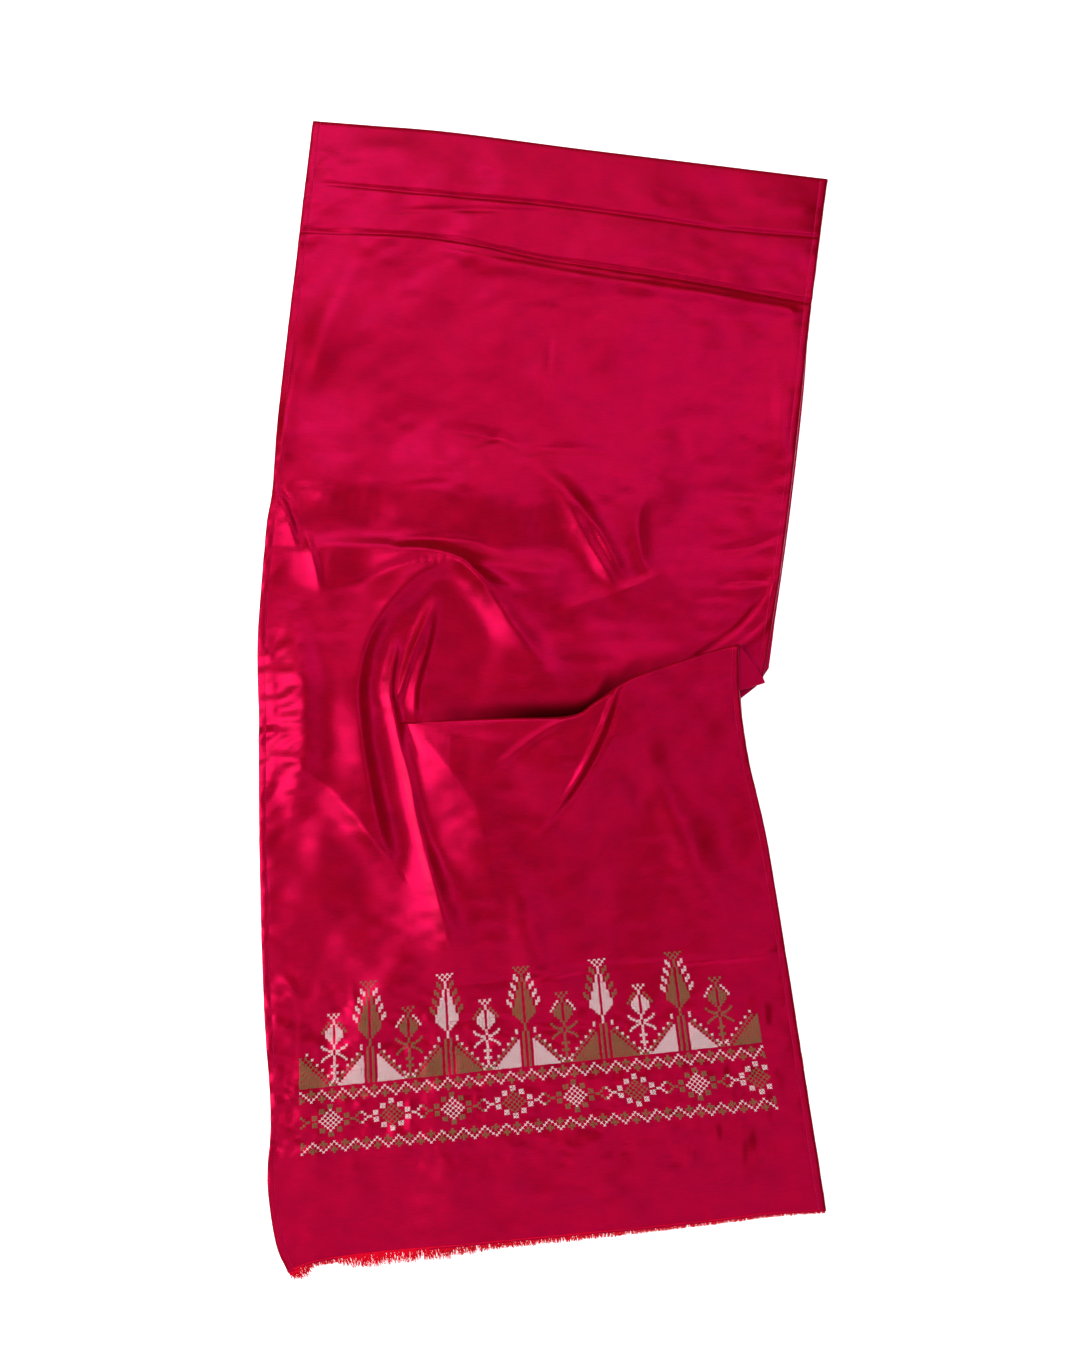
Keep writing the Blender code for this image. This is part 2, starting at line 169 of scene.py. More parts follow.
# Crests of the folds, from bottom to top or from left to right.
# The large ones are in the solids too, some of them at another height.
FOLDS = (
    # stretch, power of the section, then rows of x, y, height, width on the left and right
    # hook from low left up and over to the apex
    ("both", 1.6, (
        (-125, -153, 0, 12, 8),
        (-137, -130, 3, 20, 8),
        (-148, -89, 4.5, 26, 8),
        (-155, -51, 5, 30, 8),
        (-159, -13, 5, 32, 8),
        (-157, 17, 5, 32, 8),
        (-148, 46, 5, 26, 9),
        (-129, 75, 4.5, 18, 11),
        (-103, 96, 3.5, 12, 12),
        (-72, 105, 0, 9, 12),
    )),
    # ridge over the apex to the right
    ("upper", 1.4, (
        (-131, 113, 0, 4, 9),
        (-114, 116, 2, 4, 8),
        (-90, 114, 3.5, 4.5, 9),
        (-72, 105, 3.5, 5, 9),
        (-50, 88, 3, 5, 9),
        (-31, 81, 2, 6, 10),
        (-5, 75, 0, 8, 10),
    )),
    # finger down to the right
    ("upper", 1.5, (
        (9, 4, 0, 14, 11),
        (-4, 21, 2.0, 14, 12),
        (-25, 46, 3.8, 13, 13),
        (-44, 72, 4.2, 11, 12),
        (-61, 95, 3.2, 8, 9),
        (-77, 112, 0, 5, 8),
    )),
    # finger straight down
    ("upper", 1.5, (
        (-90, 76, 0, 8, 8),
        (-97, 64, 2.2, 8, 6),
        (-108, 40, 2.8, 7, 4),
        (-116, 19, 2.5, 4, 3),
        (-123, -5, 1.8, 3, 3),
        (-125, -15, 0, 3, 3),
    )),
    # long ridge past the tip
    ("both", 1.6, (
        (-74, -236, 0, 8, 12),
        (-84, -207, 1.8, 6, 10),
        (-92, -175, 2.4, 4.6, 8),
        (-101, -142, 2.8, 4.4, 7),
        (-109, -112, 3, 4.4, 6),
        (-115, -81, 3, 4.4, 6),
        (-123, -51, 3, 4.4, 6),
        (-128, -28, 3, 4.4, 5),
        (-132, -7, 3, 4.2, 4),
        (-131, 11, 2.6, 4, 3.6),
        (-128, 28, 1.4, 3, 3.6),
        (-129, 40, 0, 3, 4),
    )),
    # second finger down to the tip
    ("upper", 1.5, (
        (-94, 60, 0, 5, 7),
        (-102, 29, 2.0, 4, 7),
        (-109, 4, 2.4, 3.5, 7),
        (-111, -15, 2.2, 3, 6),
        (-109, -29, 0, 3, 4),
    )),
    # facet under the fingers
    ("lower", 2.0, (
        (-125, -17, 0, 2.5, 3),
        (-118, -32, -0.9, 2.5, 3),
        (-111, -49, -0.9, 3, 3),
        (-103, -66, 0, 3, 3),
    )),
    # sheen under the lip
    ("lower", 2.0, (
        (-96, -40, 0, 5, 6),
        (-71, -45, 0.8, 6, 8),
        (-41, -51, 0.9, 7, 10),
        (-13, -57, 0, 8, 10),
    )),
    # broad shoulder right of the ridge
    ("lower", 1.3, (
        (-28, -252, 0, 30, 22),
        (-38, -202, 2.8, 32, 34),
        (-45, -165, 3.4, 32, 40),
        (-50, -133, 3.4, 32, 40),
        (-57, -108, 3.0, 30, 36),
        (-71, -85, 2.6, 24, 28),
        (-89, -62, 2.0, 14, 18),
        (-99, -50, 1.3, 8, 10),
        (-108, -36, 0, 5, 6),
    )),
    # broad shoulder left of the ridge
    ("lower", 2.0, (
        (-60, -281, 0, 30, 24),
        (-75, -232, 3.6, 28, 24),
        (-88, -186, 4.4, 22, 16),
        (-98, -155, 3, 14, 10),
        (-107, -130, 0, 8, 8),
    )),
    # foot of the hook
    ("both", 1.4, (
        (-121, -157, 0, 7, 12),
        (-139, -138, 2.4, 8, 14),
        (-162, -110, 3.4, 11, 16),
        (-187, -84, 3, 13, 18),
        (-208, -71, 1.6, 12, 16),
        (-222, -66, 0, 10, 14),
    )),
    # left bulge
    ("both", 2.0, (
        (-214, -120, 0, 14, 12),
        (-208, -74, 4.2, 17, 16),
        (-206, -32, 6.0, 19, 17),
        (-208, 7, 6.0, 19, 17),
        (-213, 46, 2.8, 15, 14),
        (-218, 79, 0, 10, 10),
    )),
    # short fold at the left edge
    ("upper", 1.4, (
        (-211, 117, 0, 7, 2.4),
        (-215, 132, 2.0, 8, 2.2),
        (-221, 148, 2.4, 8, 2.2),
        (-229, 167, 0, 6, 2.4),
    )),
    # crest of the left bulge
    ("both", 1.5, (
        (-238, -103, 0, 5, 6),
        (-230, -71, 1.0, 6, 8),
        (-230, -32, 1.4, 7, 8),
        (-233, 6, 1.4, 7, 8),
        (-236, 41, 0, 5, 6),
    )),
    # swell over the valley
    ("upper", 2.0, (
        (-211, 172, 0, 12, 10),
        (-168, 170, 3.0, 34, 20),
        (-108, 167, 4.4, 44, 24),
        (-48, 157, 4.2, 44, 24),
        (-1, 141, 2.2, 34, 18),
        (33, 127, 0, 16, 12),
    )),
    # second short fold at the left edge
    ("upper", 1.4, (
        (-191, 79, 0, 4, 3),
        (-196, 100, 1.8, 4, 2.6),
        (-201, 119, 1.7, 4, 2.4),
        (-207, 134, 0, 3, 2.4),
    )),
    # crease beside the short folds
    ("upper", 2.0, (
        (-230, 174, 0, 2, 2),
        (-222, 160, -1.0, 2, 2.5),
        (-212, 150, 0, 2, 2),
    )),
    # broad ridge under the valley
    ("upper", 1.6, (
        (-223, 113, 0, 12, 20),
        (-184, 117, 3.6, 10, 26),
        (-125, 116, 4.5, 8, 26),
        (-65, 106, 4.5, 8, 26),
        (-14, 96, 3, 10, 24),
        (25, 92, 0, 12, 20),
    )),
    # thin crease over the apex
    ("upper", 2.0, (
        (-137, 119, 0, 2, 2.5),
        (-103, 125, -1.2, 2, 3),
        (-65, 123, -1.0, 2, 3),
        (-35, 113, 0, 2, 2.5),
    )),
    # trough under the apex
    ("upper", 2.0, (
        (-191, 81, 0, 4, 5),
        (-157, 88, -1.2, 5, 6),
        (-123, 101, -1.4, 5, 6),
        (-92, 106, 0, 4, 5),
    )),
    # first cup ridge
    ("upper", 1.4, (
        (62, 82, 0, 5, 5),
        (51, 98, 2.2, 6, 6),
        (36, 124, 3, 9, 6),
        (21, 151, 2.8, 12, 8),
        (2, 177, 1.8, 14, 10),
        (-22, 200, 0, 14, 12),
    )),
    # second cup ridge
    ("upper", 1.4, (
        (70, 86, 0, 4, 6),
        (58, 106, 2, 4, 7),
        (44, 131, 2.6, 4, 8),
        (26, 156, 2, 5, 8),
        (5, 180, 0, 6, 10),
    )),
    # third cup ridge
    ("upper", 1.4, (
        (91, 88, 0, 5, 10),
        (82, 106, 2, 6, 12),
        (78, 128, 2, 8, 14),
        (81, 151, 1.6, 10, 14),
        (93, 174, 0, 10, 14),
    )),
    # where the cup ridges meet
    ("upper", 1.4, (
        (56, 78, 0, 4, 5),
        (72, 82, 2.2, 4, 6),
        (89, 90, 1.6, 4, 6),
        (106, 96, 0, 5, 6),
    )),
    # low swell under the cup
    ("upper", 1.5, (
        (12, 60, 0, 8, 8),
        (33, 70, 2, 6, 10),
        (56, 79, 0, 6, 8),
    )),
    # patch at the right margin, top
    ("upper", 2.0, (
        (197, 270, 0, 14, 8),
        (204, 223, 1.6, 16, 8),
        (201, 177, 0, 14, 8),
    )),
    # patch at the right margin, middle
    ("upper", 2.0, (
        (168, 163, 0, 12, 12),
        (180, 144, 1.4, 14, 10),
        (174, 124, 0, 12, 12),
    )),
    # patch at the right margin, low
    ("upper", 2.0, (
        (203, 119, 0, 14, 8),
        (198, 89, 1.8, 16, 8),
        (184, 51, 0, 14, 8),
    )),
    # right margin above the pleat
    ("upper", 2.0, (
        (186, 45, 0, 22, 10),
        (198, 106, 2.5, 26, 10),
        (210, 184, 3, 28, 10),
        (219, 245, 2.5, 26, 10),
        (230, 311, 0, 22, 10),
    )),
    # left margin near the top
    ("upper", 2.0, (
        (-210, 244, 0, 8, 10),
        (-196, 287, 2.5, 14, 16),
        (-183, 324, 2.5, 16, 18),
        (-166, 358, 0, 12, 14),
    )),
    # wrinkle in the middle
    ("upper", 2.0, (
        (-94, 222, 0, 2.5, 3),
        (-65, 216, -1.0, 2.5, 3),
        (-37, 210, -0.9, 2.5, 3),
        (-19, 200, 0, 2.5, 3),
    )),
    # second wrinkle in the middle
    ("upper", 2.0, (
        (-67, 203, 0, 2, 2),
        (-48, 210, -0.8, 2, 2),
        (-27, 214, 0, 2, 2),
    )),
    # third wrinkle in the middle
    ("upper", 2.0, (
        (-26, 194, 0, 3, 2.5),
        (-1, 201, -0.8, 3, 2.5),
        (29, 201, -0.8, 3, 2.5),
        (67, 196, 0, 3, 2.5),
    )),
    # wrinkle left of them
    ("upper", 2.0, (
        (-128, 168, 0, 2.5, 2),
        (-101, 171, -0.7, 2.5, 2),
        (-74, 172, 0, 2.5, 2),
    )),
    # hollow right of them
    ("upper", 2.0, (
        (72, 216, 0, 9, 7),
        (100, 223, -1.0, 9, 7),
        (132, 227, -1.0, 9, 7),
        (165, 223, 0, 9, 7),
    )),
    # hollow at the right margin
    ("upper", 2.0, (
        (115, 168, 0, 7, 4),
        (142, 165, -1.0, 7, 4),
        (171, 162, -1.0, 6, 4),
        (196, 161, 0, 4, 3),
    )),
    # crease at the right margin
    ("upper", 2.0, (
        (133, 113, 0, 3.5, 3),
        (162, 115, -1.0, 3.5, 3),
        (185, 121, -1.0, 3, 3),
        (205, 128, 0, 3, 3),
    )),
    # small crease under it
    ("upper", 2.0, (
        (123, 72, 0, 3, 3),
        (143, 75, -0.6, 3, 3),
        (164, 75, 0, 3, 3),
    )),
    # rolled left edge
    ("upper", 2.0, (
        (-227, 180, 0, 4, 7),
        (-224, 219, 1.6, 4, 7),
        (-219, 258, 1.6, 4, 7),
        (-213, 298, 0, 4, 7),
    )),
    # brow over the pocket
    ("upper", 2.0, (
        (-100, -15, 0, 14, 8),
        (-71, -8, 0.7, 20, 10),
        (-30, -2, 1.2, 26, 12),
        (12, 2, 1.4, 28, 13),
        (46, 7, 1.2, 26, 11),
        (80, 17, 0.6, 22, 9),
        (114, 25, 0, 16, 8),
    )),
    # swell right of the flap
    ("lower", 2.0, (
        (142, -211, 0, 16, 18),
        (130, -165, 2.5, 18, 20),
        (109, -115, 3, 16, 18),
        (92, -77, 2, 14, 16),
        (80, -51, 0, 12, 14),
    )),
    # right margin below the pleat
    ("lower", 2.0, (
        (209, -223, 0, 24, 10),
        (195, -157, 0.8, 26, 10),
        (178, -98, 0.8, 26, 10),
        (168, -47, 0, 20, 10),
    )),
    # swell at the end, middle
    ("lower", 2.0, (
        (-73, -457, 0, 18, 16),
        (-78, -420, 2.5, 18, 16),
        (-86, -388, 2.5, 16, 16),
        (-93, -363, 0, 12, 12),
    )),
    # swell at the end, right
    ("lower", 2.0, (
        (162, -446, 0, 20, 14),
        (158, -412, 1.2, 20, 14),
        (155, -378, 0, 14, 12),
    )),
    # swell at the end, left
    ("lower", 2.0, (
        (-186, -433, 0, 14, 16),
        (-193, -388, 1.4, 16, 16),
        (-201, -347, 1.4, 14, 16),
        (-204, -314, 0, 12, 12),
    )),
    # swell over the trees, left
    ("lower", 2.0, (
        (-168, -331, 0, 14, 16),
        (-145, -273, 1.6, 18, 16),
        (-124, -232, 1.6, 18, 16),
        (-110, -198, 0, 12, 12),
    )),
    # swell over the trees, middle
    ("lower", 2.0, (
        (12, -256, 0, 14, 16),
        (-13, -223, 2.5, 16, 16),
        (-22, -182, 2.5, 16, 16),
        (-34, -140, 0, 12, 12),
    )),
    # pressed crease under the top
    ("upper", 2.0, (
        (-209, 437, 0, 1.4, 1.6),
        (-161, 432, -0.8, 1.4, 1.6),
        (-71, 424, -1.3, 1.4, 1.6),
        (12, 416, -1.3, 1.4, 1.6),
        (90, 405, -1.0, 1.4, 1.6),
        (168, 394, -1.0, 1.4, 1.6),
        (236, 388, -0.8, 1.4, 1.6),
    )),
    # its lower edge
    ("upper", 2.0, (
        (-144, 409, 0, 2.5, 2.5),
        (-83, 412, -0.7, 2.5, 2.5),
        (47, 409, 0, 2.5, 2.5),
    )),
    # main pressed crease
    ("upper", 2.0, (
        (-211, 393, -0.7, 1.4, 1.6),
        (-109, 389, -1.5, 1.4, 1.6),
        (-57, 381, -1.6, 1.4, 1.6),
        (-5, 370, -1.5, 1.4, 1.6),
        (64, 359, -1.8, 1.5, 1.8),
        (133, 348, -2.2, 1.7, 1.8),
        (230, 330, -2.0, 1.7, 1.8),
    )),
    # ridge beside the main crease
    ("upper", 2.0, (
        (-109, 380, 0, 3, 8),
        (-40, 367, 1.2, 3, 9),
        (47, 351, 1.2, 3, 9),
        (133, 338, 1.6, 3, 9),
        (211, 324, 1.0, 3, 8),
    )),
    # faint crease down the middle
    ("upper", 2.0, (
        (1, 228, 0, 3, 3),
        (3, 289, -0.6, 3, 3),
        (6, 338, 0, 3, 3),
    )),
    # crease into the pleat
    ("upper", 2.0, (
        (129, 24, -1.2, 2.5, 2.5),
        (163, 48, -1.5, 2.5, 2.5),
        (181, 69, -1.0, 2.5, 2.5),
        (189, 81, 0, 2.5, 2.5),
    )),
    # second crease into the pleat
    ("upper", 2.0, (
        (159, 28, 1.0, 2.5, 4),
        (180, 44, 1.4, 2.5, 4),
        (196, 64, 0, 2.5, 4),
    )),
    # short crease at the right edge
    ("upper", 2.0, (
        (142, 84, 0, 2.5, 3),
        (166, 88, -1.1, 2.5, 3),
        (189, 88, -0.8, 2.5, 3),
    )),
    # flap crease
    ("lower", 1.4, (
        (-18, -133, 0, 2.2, 5),
        (6, -108, 0.8, 2.2, 4),
        (25, -82, 1.6, 2.2, 3.4),
        (43, -47, 1.9, 2.2, 3.4),
        (53, -22, 1.9, 2.2, 3.4),
        (60, -1, 1.0, 2.2, 3.4),
    )),
    # flap crease, shaded side
    ("lower", 2.0, (
        (-13, -136, 0, 3, 3),
        (12, -108, -0.5, 3, 3),
        (31, -82, -0.9, 3, 3),
        (50, -47, -0.9, 3, 3),
        (59, -22, -0.7, 3, 3),
    )),
    # second flap crease
    ("lower", 1.4, (
        (-49, -75, 0, 2.2, 4),
        (-26, -57, 1.1, 2.2, 4),
        (-5, -42, 1.4, 2.2, 4),
        (19, -29, 0.8, 2.2, 4),
    )),
    # tuck over the trees
    ("lower", 2.0, (
        (-97, -252, 0, 2.5, 2.5),
        (-22, -248, -0.8, 2.5, 2.5),
        (45, -237, -1.0, 2.5, 2.5),
        (129, -232, -1.0, 2.5, 2.5),
        (213, -224, -1.1, 2.5, 2.5),
    )),
    # crease in the corner below
    ("lower", 2.0, (
        (-206, -273, 0, 4, 5),
        (-214, -252, 1.0, 4, 5),
        (-229, -240, 0, 4, 5),
    )),
)

# Rows and columns of the fine cloth: share of the way, count
COLUMN_PLACES = ((0.0, 0), (0.25, 55), (0.42, 125), (0.6, 160), (1.0, 246))
UPPER_PLACES = ((0.0, 0), (0.05, 6), (0.30, 92), (0.50, 112), (1.0, 208))
LOWER_PLACES = ((0.0, 0), (0.5, 90), (0.8, 150), (1.0, 172))
MID_ROWS = 4
TURN_ROWS = 7

# Hem: distance from the edge and height, in millimetres
HEM_SECTION = (
    (0.0, -1.9),
    (0.1, -0.8),
    (0.5, -0.15),
    (1.3, 0.12),
    (3.0, 0.2),
    (5.0, 0.18),
    (6.2, 0.08),
    (6.8, 0.0),
)
SEAM_AT = 6.8
SEAM_SINK = 0.06
SEAM_SINK_REACH = 1.6
STITCH_AT = 6.3
STITCH_STEP = 2.3
STITCH_LENGTH = 1.5


def smooth(share):
    """0 to 1 with a soft start and a soft end."""
    share = np.clip(share, 0.0, 1.0)
    return share * share * (3.0 - 2.0 * share)


def shares_of(places):
    """One share for each step of a table of share and count."""
    places = np.array(places)
    return np.interp(np.arange(places[-1, 1] + 1), places[:, 1], places[:, 0])


def soft_line(table, shares):
    """Points at shares of the length of the smooth line through a table's points."""
    points = np.array(table, float)
    before = np.vstack([2 * points[0] - points[1], points[:-1]])[:-1]
    after = np.vstack([points[1:], 2 * points[-1] - points[-2]])[1:]
    start, end = points[:-1], points[1:]
    step = np.linspace(0.0, 1.0, 12, endpoint=False)[:, None, None]
    dense = 0.5 * (
        2 * start
        + (end - before) * step
        + (2 * before - 5 * start + 4 * end - after) * step**2
        + (3 * start - before - 3 * end + after) * step**3
    )
    width = points.shape[1]
    dense = np.vstack([dense.transpose(1, 0, 2).reshape(-1, width), points[-1]])
    travelled = np.hypot(*np.diff(dense[:, :2], axis=0).T).cumsum()
    travelled = np.concatenate([[0.0], travelled]) / travelled[-1]
    return np.stack([np.interp(shares, travelled, column) for column in dense.T], axis=-1)


def outward(table, shares):
    """Unit directions down the cloth, square to the smooth line through a table's points."""
    ahead = soft_line(table, np.minimum(shares + 0.01, 1))
    beside = ahead - soft_line(table, np.maximum(shares - 0.01, 0))
    return np.stack([beside[:, 1], -beside[:, 0]], axis=-1) / np.hypot(*beside.T)[:, None]


def patch(top, bottom, left, right, across, along):
    """Plan points of a stretch between its four edges: a row for each step along it."""
    u = across[None, :, None]
    v = along[:, None, None]
    sides = (1 - u) * left[:, None, :] + u * right[:, None, :]
    ends = (1 - v) * top[None] + v * bottom[None]
    corners = (1 - v) * ((1 - u) * top[0] + u * top[-1])
    corners = corners + v * ((1 - u) * bottom[0] + u * bottom[-1])
    return sides + ends - corners


def fold_height(places, stretch):
    """Height that the folds of one stretch give at plan places."""
    x, y = places[..., 0], places[..., 1]
    height = np.zeros(x.shape)
    for on, power, crest in FOLDS:
        if on not in ("both", stretch):
            continue
        line = soft_line(crest, np.linspace(0, 1, 5 * len(crest)))
        margin = 5.2 / power * line[:, 3:].max()
        low, high = line[:, :2].min(axis=0) - margin, line[:, :2].max(axis=0) + margin
        near = (x > low[0]) & (x < high[0]) & (y > low[1]) & (y < high[1])
        if not near.any():
            continue
        nx, ny = x[near], y[near]
        keep = np.maximum if line[:, 2].sum() > 0 else np.minimum
        rise = np.zeros(nx.shape)
        for start, end in zip(line[:-1], line[1:]):
            ahead = end[:2] - start[:2]
            share = ((nx - start[0]) * ahead[0] + (ny - start[1]) * ahead[1]) / (ahead @ ahead)
            share = np.clip(share, 0, 1)
            off_x = nx - start[0] - share * ahead[0]
            off_y = ny - start[1] - share * ahead[1]
            distance = np.hypot(off_x, off_y)
            crest_height, left, right = (start[k] + share * (end[k] - start[k]) for k in (2, 3, 4))
            width = np.where(ahead[0] * off_y - ahead[1] * off_x > 0, left, right)
            rise = keep(rise, crest_height * np.exp(-((distance / width) ** power)))
        height[near] += rise
    return height


def table_at(table, x, column):
    """Values of one column of a table at places along its first column."""
    rows = np.array(table, float)
    return np.interp(x, rows[:, 0], rows[:, column])


def soft_noise(x, y, size_x, size_y, seed):
    """Smooth uneven values from -1 to 1, with cells of the given size."""
    values = np.random.default_rng(seed).uniform(-1, 1, (64, 64))
    gx, gy = x / size_x, y / size_y
    ix, iy = np.floor(gx).astype(int), np.floor(gy).astype(int)
    fx, fy = smooth(gx - ix), smooth(gy - iy)
    low = values[ix % 64, iy % 64] * (1 - fx) + values[(ix + 1) % 64, iy % 64] * fx
    high = values[ix % 64, (iy + 1) % 64] * (1 - fx) + values[(ix + 1) % 64, (iy + 1) % 64] * fx
    return low * (1 - fy) + high * fy


def uneven(places, from_edge):
    """Small unevenness: broad swells, the pull of the stitches and the pucker of the hems."""
    x, y = places[..., 0], places[..., 1]
    swell = 0.6 + 1.6 * soft_noise(x, y, 71.0, 83.0, 3) + 1.0 * soft_noise(x, y, 31.0, 43.0, 4)
    swell += 0.3 * soft_noise(x, y, 17.0, 9.0, 12)
    sewn = smooth((y + 410) / 25) * smooth((-y - 245) / 25) * smooth((200 - x) / 15)
    pull = 0.6 * soft_noise(x, y, 7.0, 9.0, 5) + 0.5 * soft_noise(x + y, y, 13.0, 6.0, 6)
    near = np.exp(-((from_edge / 18.0) ** 2))
    near = near + 1.5 * np.exp(-(((x + 220) / 22) ** 2) - ((y + 40) / 90) ** 2)
    pucker = 0.3 * soft_noise(x, y, 30.0, 7.0, 7) + 0.4 * soft_noise(x - 0.7 * y, y, 11.0, 8.0, 8)
    return swell + sewn * pull + near * pucker


def relief(places, stretch, from_edge):
    """Height of the face over its rest level, kept above the layer under it."""
    rise = fold_height(places, stretch) + uneven(places, from_edge)
    return np.where(rise < 0, DEEPEST * np.tanh(rise / DEEPEST), rise)


class Pleat:
    """The lines and heights of the pleat, for each column of the cloth."""

    def __init__(self, across, from_edge):
        self.from_edge = from_edge
        self.inner = soft_line(INNER_FOLD, across)
        self.lip = soft_line(LIP, across)
        self.down = outward(LIP, across)
        self.overlap = ((self.inner - self.lip) * self.down).sum(axis=1)
        self.folded = smooth(self.overlap / FULL_OVERLAP)
        self.lift = table_at(LIP_LIFT, self.lip[:, 0], 1)
        self.run = table_at(LIP_LIFT, self.lip[:, 0], 2)
        self.inner_rise = relief(self.inner, "upper", from_edge)
        self.lip_rise = relief(self.lip, "lower", from_edge) + self.lift
        self.mid_rise = self.inner_rise + 2 * INNER_TURN
        self.lip_turn = np.maximum(self.lip_rise - self.mid_rise, 2 * LEAST_TURN) / 2

    def lift_below(self, distance):
        """Height that the lip gives the cloth below it, which stays up over the layers under it."""
        past = np.maximum(distance - np.maximum(self.overlap, 0), 0)
        return self.lift * np.exp(-((past / self.run) ** 2))

    def rows(self):
        """Rows of the cloth round the inner fold, between the folds and round the lip."""
        turn = np.radians(np.linspace(-90, 90, TURN_ROWS + 1))[:, None]
        inner_in = INNER_TURN * (1 - np.cos(turn)) * np.ones_like(self.overlap)
        inner_rows = self.inner - inner_in[..., None] * self.down
        inner_rise = self.inner_rise + INNER_TURN * (1 + np.sin(turn))
        lip_in = np.minimum(self.lip_turn, LIP_REACH) * (1 - np.cos(turn))
        lip_rows = self.lip + lip_in[..., None] * self.down
        lip_rise = self.lip_rise - self.lip_turn * (1 - np.sin(turn))
        step = np.linspace(0, 1, MID_ROWS + 2)[1:-1, None]
        mid_rows = inner_rows[-1] * (1 - step[..., None]) + lip_rows[0] * step[..., None]
        mid_rise = inner_rise[-1] * (1 - step) + lip_rise[0] * step
        plan = np.concatenate([inner_rows, mid_rows, lip_rows])
        rise = np.concatenate([inner_rise, mid_rise, lip_rise])
        # Where the pleat has died out, the same rows lie one after another
        ramp = np.linspace(0, 1, len(plan))[:, None]
        flat = self.inner * (1 - ramp[..., None]) + self.lip * ramp[..., None]
        low = relief(flat, "lower", self.from_edge) + self.lift
        flat_rise = relief(flat, "upper", self.from_edge) * (1 - smooth(ramp)) + low * smooth(ramp)
        folded = self.folded[:, None]
        plan = folded * plan + (1 - folded) * flat
        return plan, self.folded * rise + (1 - self.folded) * flat_rise


def cloth_points(across, raise_by=0.0):
    """The face of the cloth as a grid of points: rows from the top fold down, each point with the
    painted shade of the pleat.
    """
    across = np.concatenate([[0.0], across, [1.0]])
    from_edge = np.minimum(across, 1 - across) * CLOTH_WIDTH
    pleat = Pleat(across, from_edge)
    pleat_plan, pleat_rise = pleat.rows()

    steps = shares_of(UPPER_PLACES)
    edges = (soft_line(LEFT_UPPER, steps), soft_line(RIGHT_UPPER, steps))
    upper = patch(soft_line(TOP_EDGE, across), pleat_plan[0], *edges, across, steps)
    upper_rise = relief(upper, "upper", from_edge) * smooth(steps / TOP_FLAT)[:, None]

    steps = shares_of(LOWER_PLACES)
    edges = (soft_line(LEFT_LOWER, steps), soft_line(RIGHT_LOWER, steps))
    lower = patch(pleat_plan[-1], soft_line(CUT_END, across), *edges, across, steps)
    below = np.hypot(*(lower - lower[:1]).transpose(2, 0, 1))
    lower_rise = relief(lower, "lower", from_edge) + pleat.lift_below(below)

    # The top edge rolls down towards the table
    roll = np.radians(np.array([90.0, 65.0, 40.0, 20.0]))[:, None]
    rolled = np.repeat(upper[:1], len(roll), axis=0)
    rolled[..., 1] -= TOP_ROLL * (1 - np.sin(roll))
    roll_fall = (REST_FACE - WALL) * (np.cos(roll) - 1) * np.ones_like(across)

    # Painted shade of the pleat, by how deep each point lies in it: full between its folds, fading
    # out above the lip; it darkens the silk's colour there
    above_lip = -((upper - pleat.lip) * pleat.down).sum(axis=-1)
    strength, reach = (table_at(SHADE, pleat.lip[:, 0], k) for k in (1, 2))
    shade = strength * np.exp(-((np.maximum(above_lip, 0) / reach) ** 3))
    pleat_painted_shade = np.repeat(pleat.folded[None], len(pleat_plan), axis=0)
    pleat_painted_shade[-TURN_ROWS // 2 :] = 0

    plan = np.concatenate([rolled, upper[1:-1], pleat_plan, lower[1:]])
    rise = np.concatenate([roll_fall, upper_rise[1:-1], pleat_rise, lower_rise[1:]])
    painted_shade = np.concatenate([0 * roll_fall, shade[1:-1], pleat_painted_shade, 0 * lower_rise[1:]])
    face = np.maximum(REST_FACE + rise, LEAST_FACE)
    grid = np.concatenate([plan, face[..., None], painted_shade[..., None]], axis=-1)[:, 1:-1]
    grid[..., 2] = np.maximum(grid[..., 2] + raise_by, LEAST_LEVEL)
    return grid


def metres(points):
    """Table millimetres to metres over the part's origin."""
    return (np.asarray(points, float)[..., :3] + (CENTRE_X, CENTRE_Y, 0.0)) * MM


# Camera: straight above the scarf, leaning back a little
CAMERA_HEIGHT = 1.433
CAMERA_LEAN = 4.5
CAMERA_LENS = 45.0
AIM = (-0.005, 0.0088, 0.0)


def add_camera():
    """The camera that took the photo."""
    data = bpy.data.cameras.new("camera")
    data.lens = CAMERA_LENS
    data.sensor_width = 36.0
    data.clip_end = 50.0
    camera = bpy.data.objects.new("camera", data)
    bpy.context.scene.collection.objects.link(camera)
    lean = math.radians(CAMERA_LEAN)
    camera.location = (
        AIM[0],
        AIM[1] - CAMERA_HEIGHT * math.sin(lean),
        CAMERA_HEIGHT * math.cos(lean),
    )
    camera.rotation_euler = (lean, 0.0, 0.0)
    bpy.context.scene.camera = camera


def add_area(name, place, size, power, colour, aim):
    """One flat box of light that points at its aim."""
    data = bpy.data.lights.new(name, "AREA")
    data.shape = "RECTANGLE"
    data.size, data.size_y = size
    data.energy = power
    data.color = colour
    lamp = bpy.data.objects.new(name, data)
    bpy.context.scene.collection.objects.link(lamp)
    lamp.location = place
    direction = Vector(aim) - Vector(place)
    lamp.rotation_euler = direction.to_track_quat("-Z", "Y").to_euler()


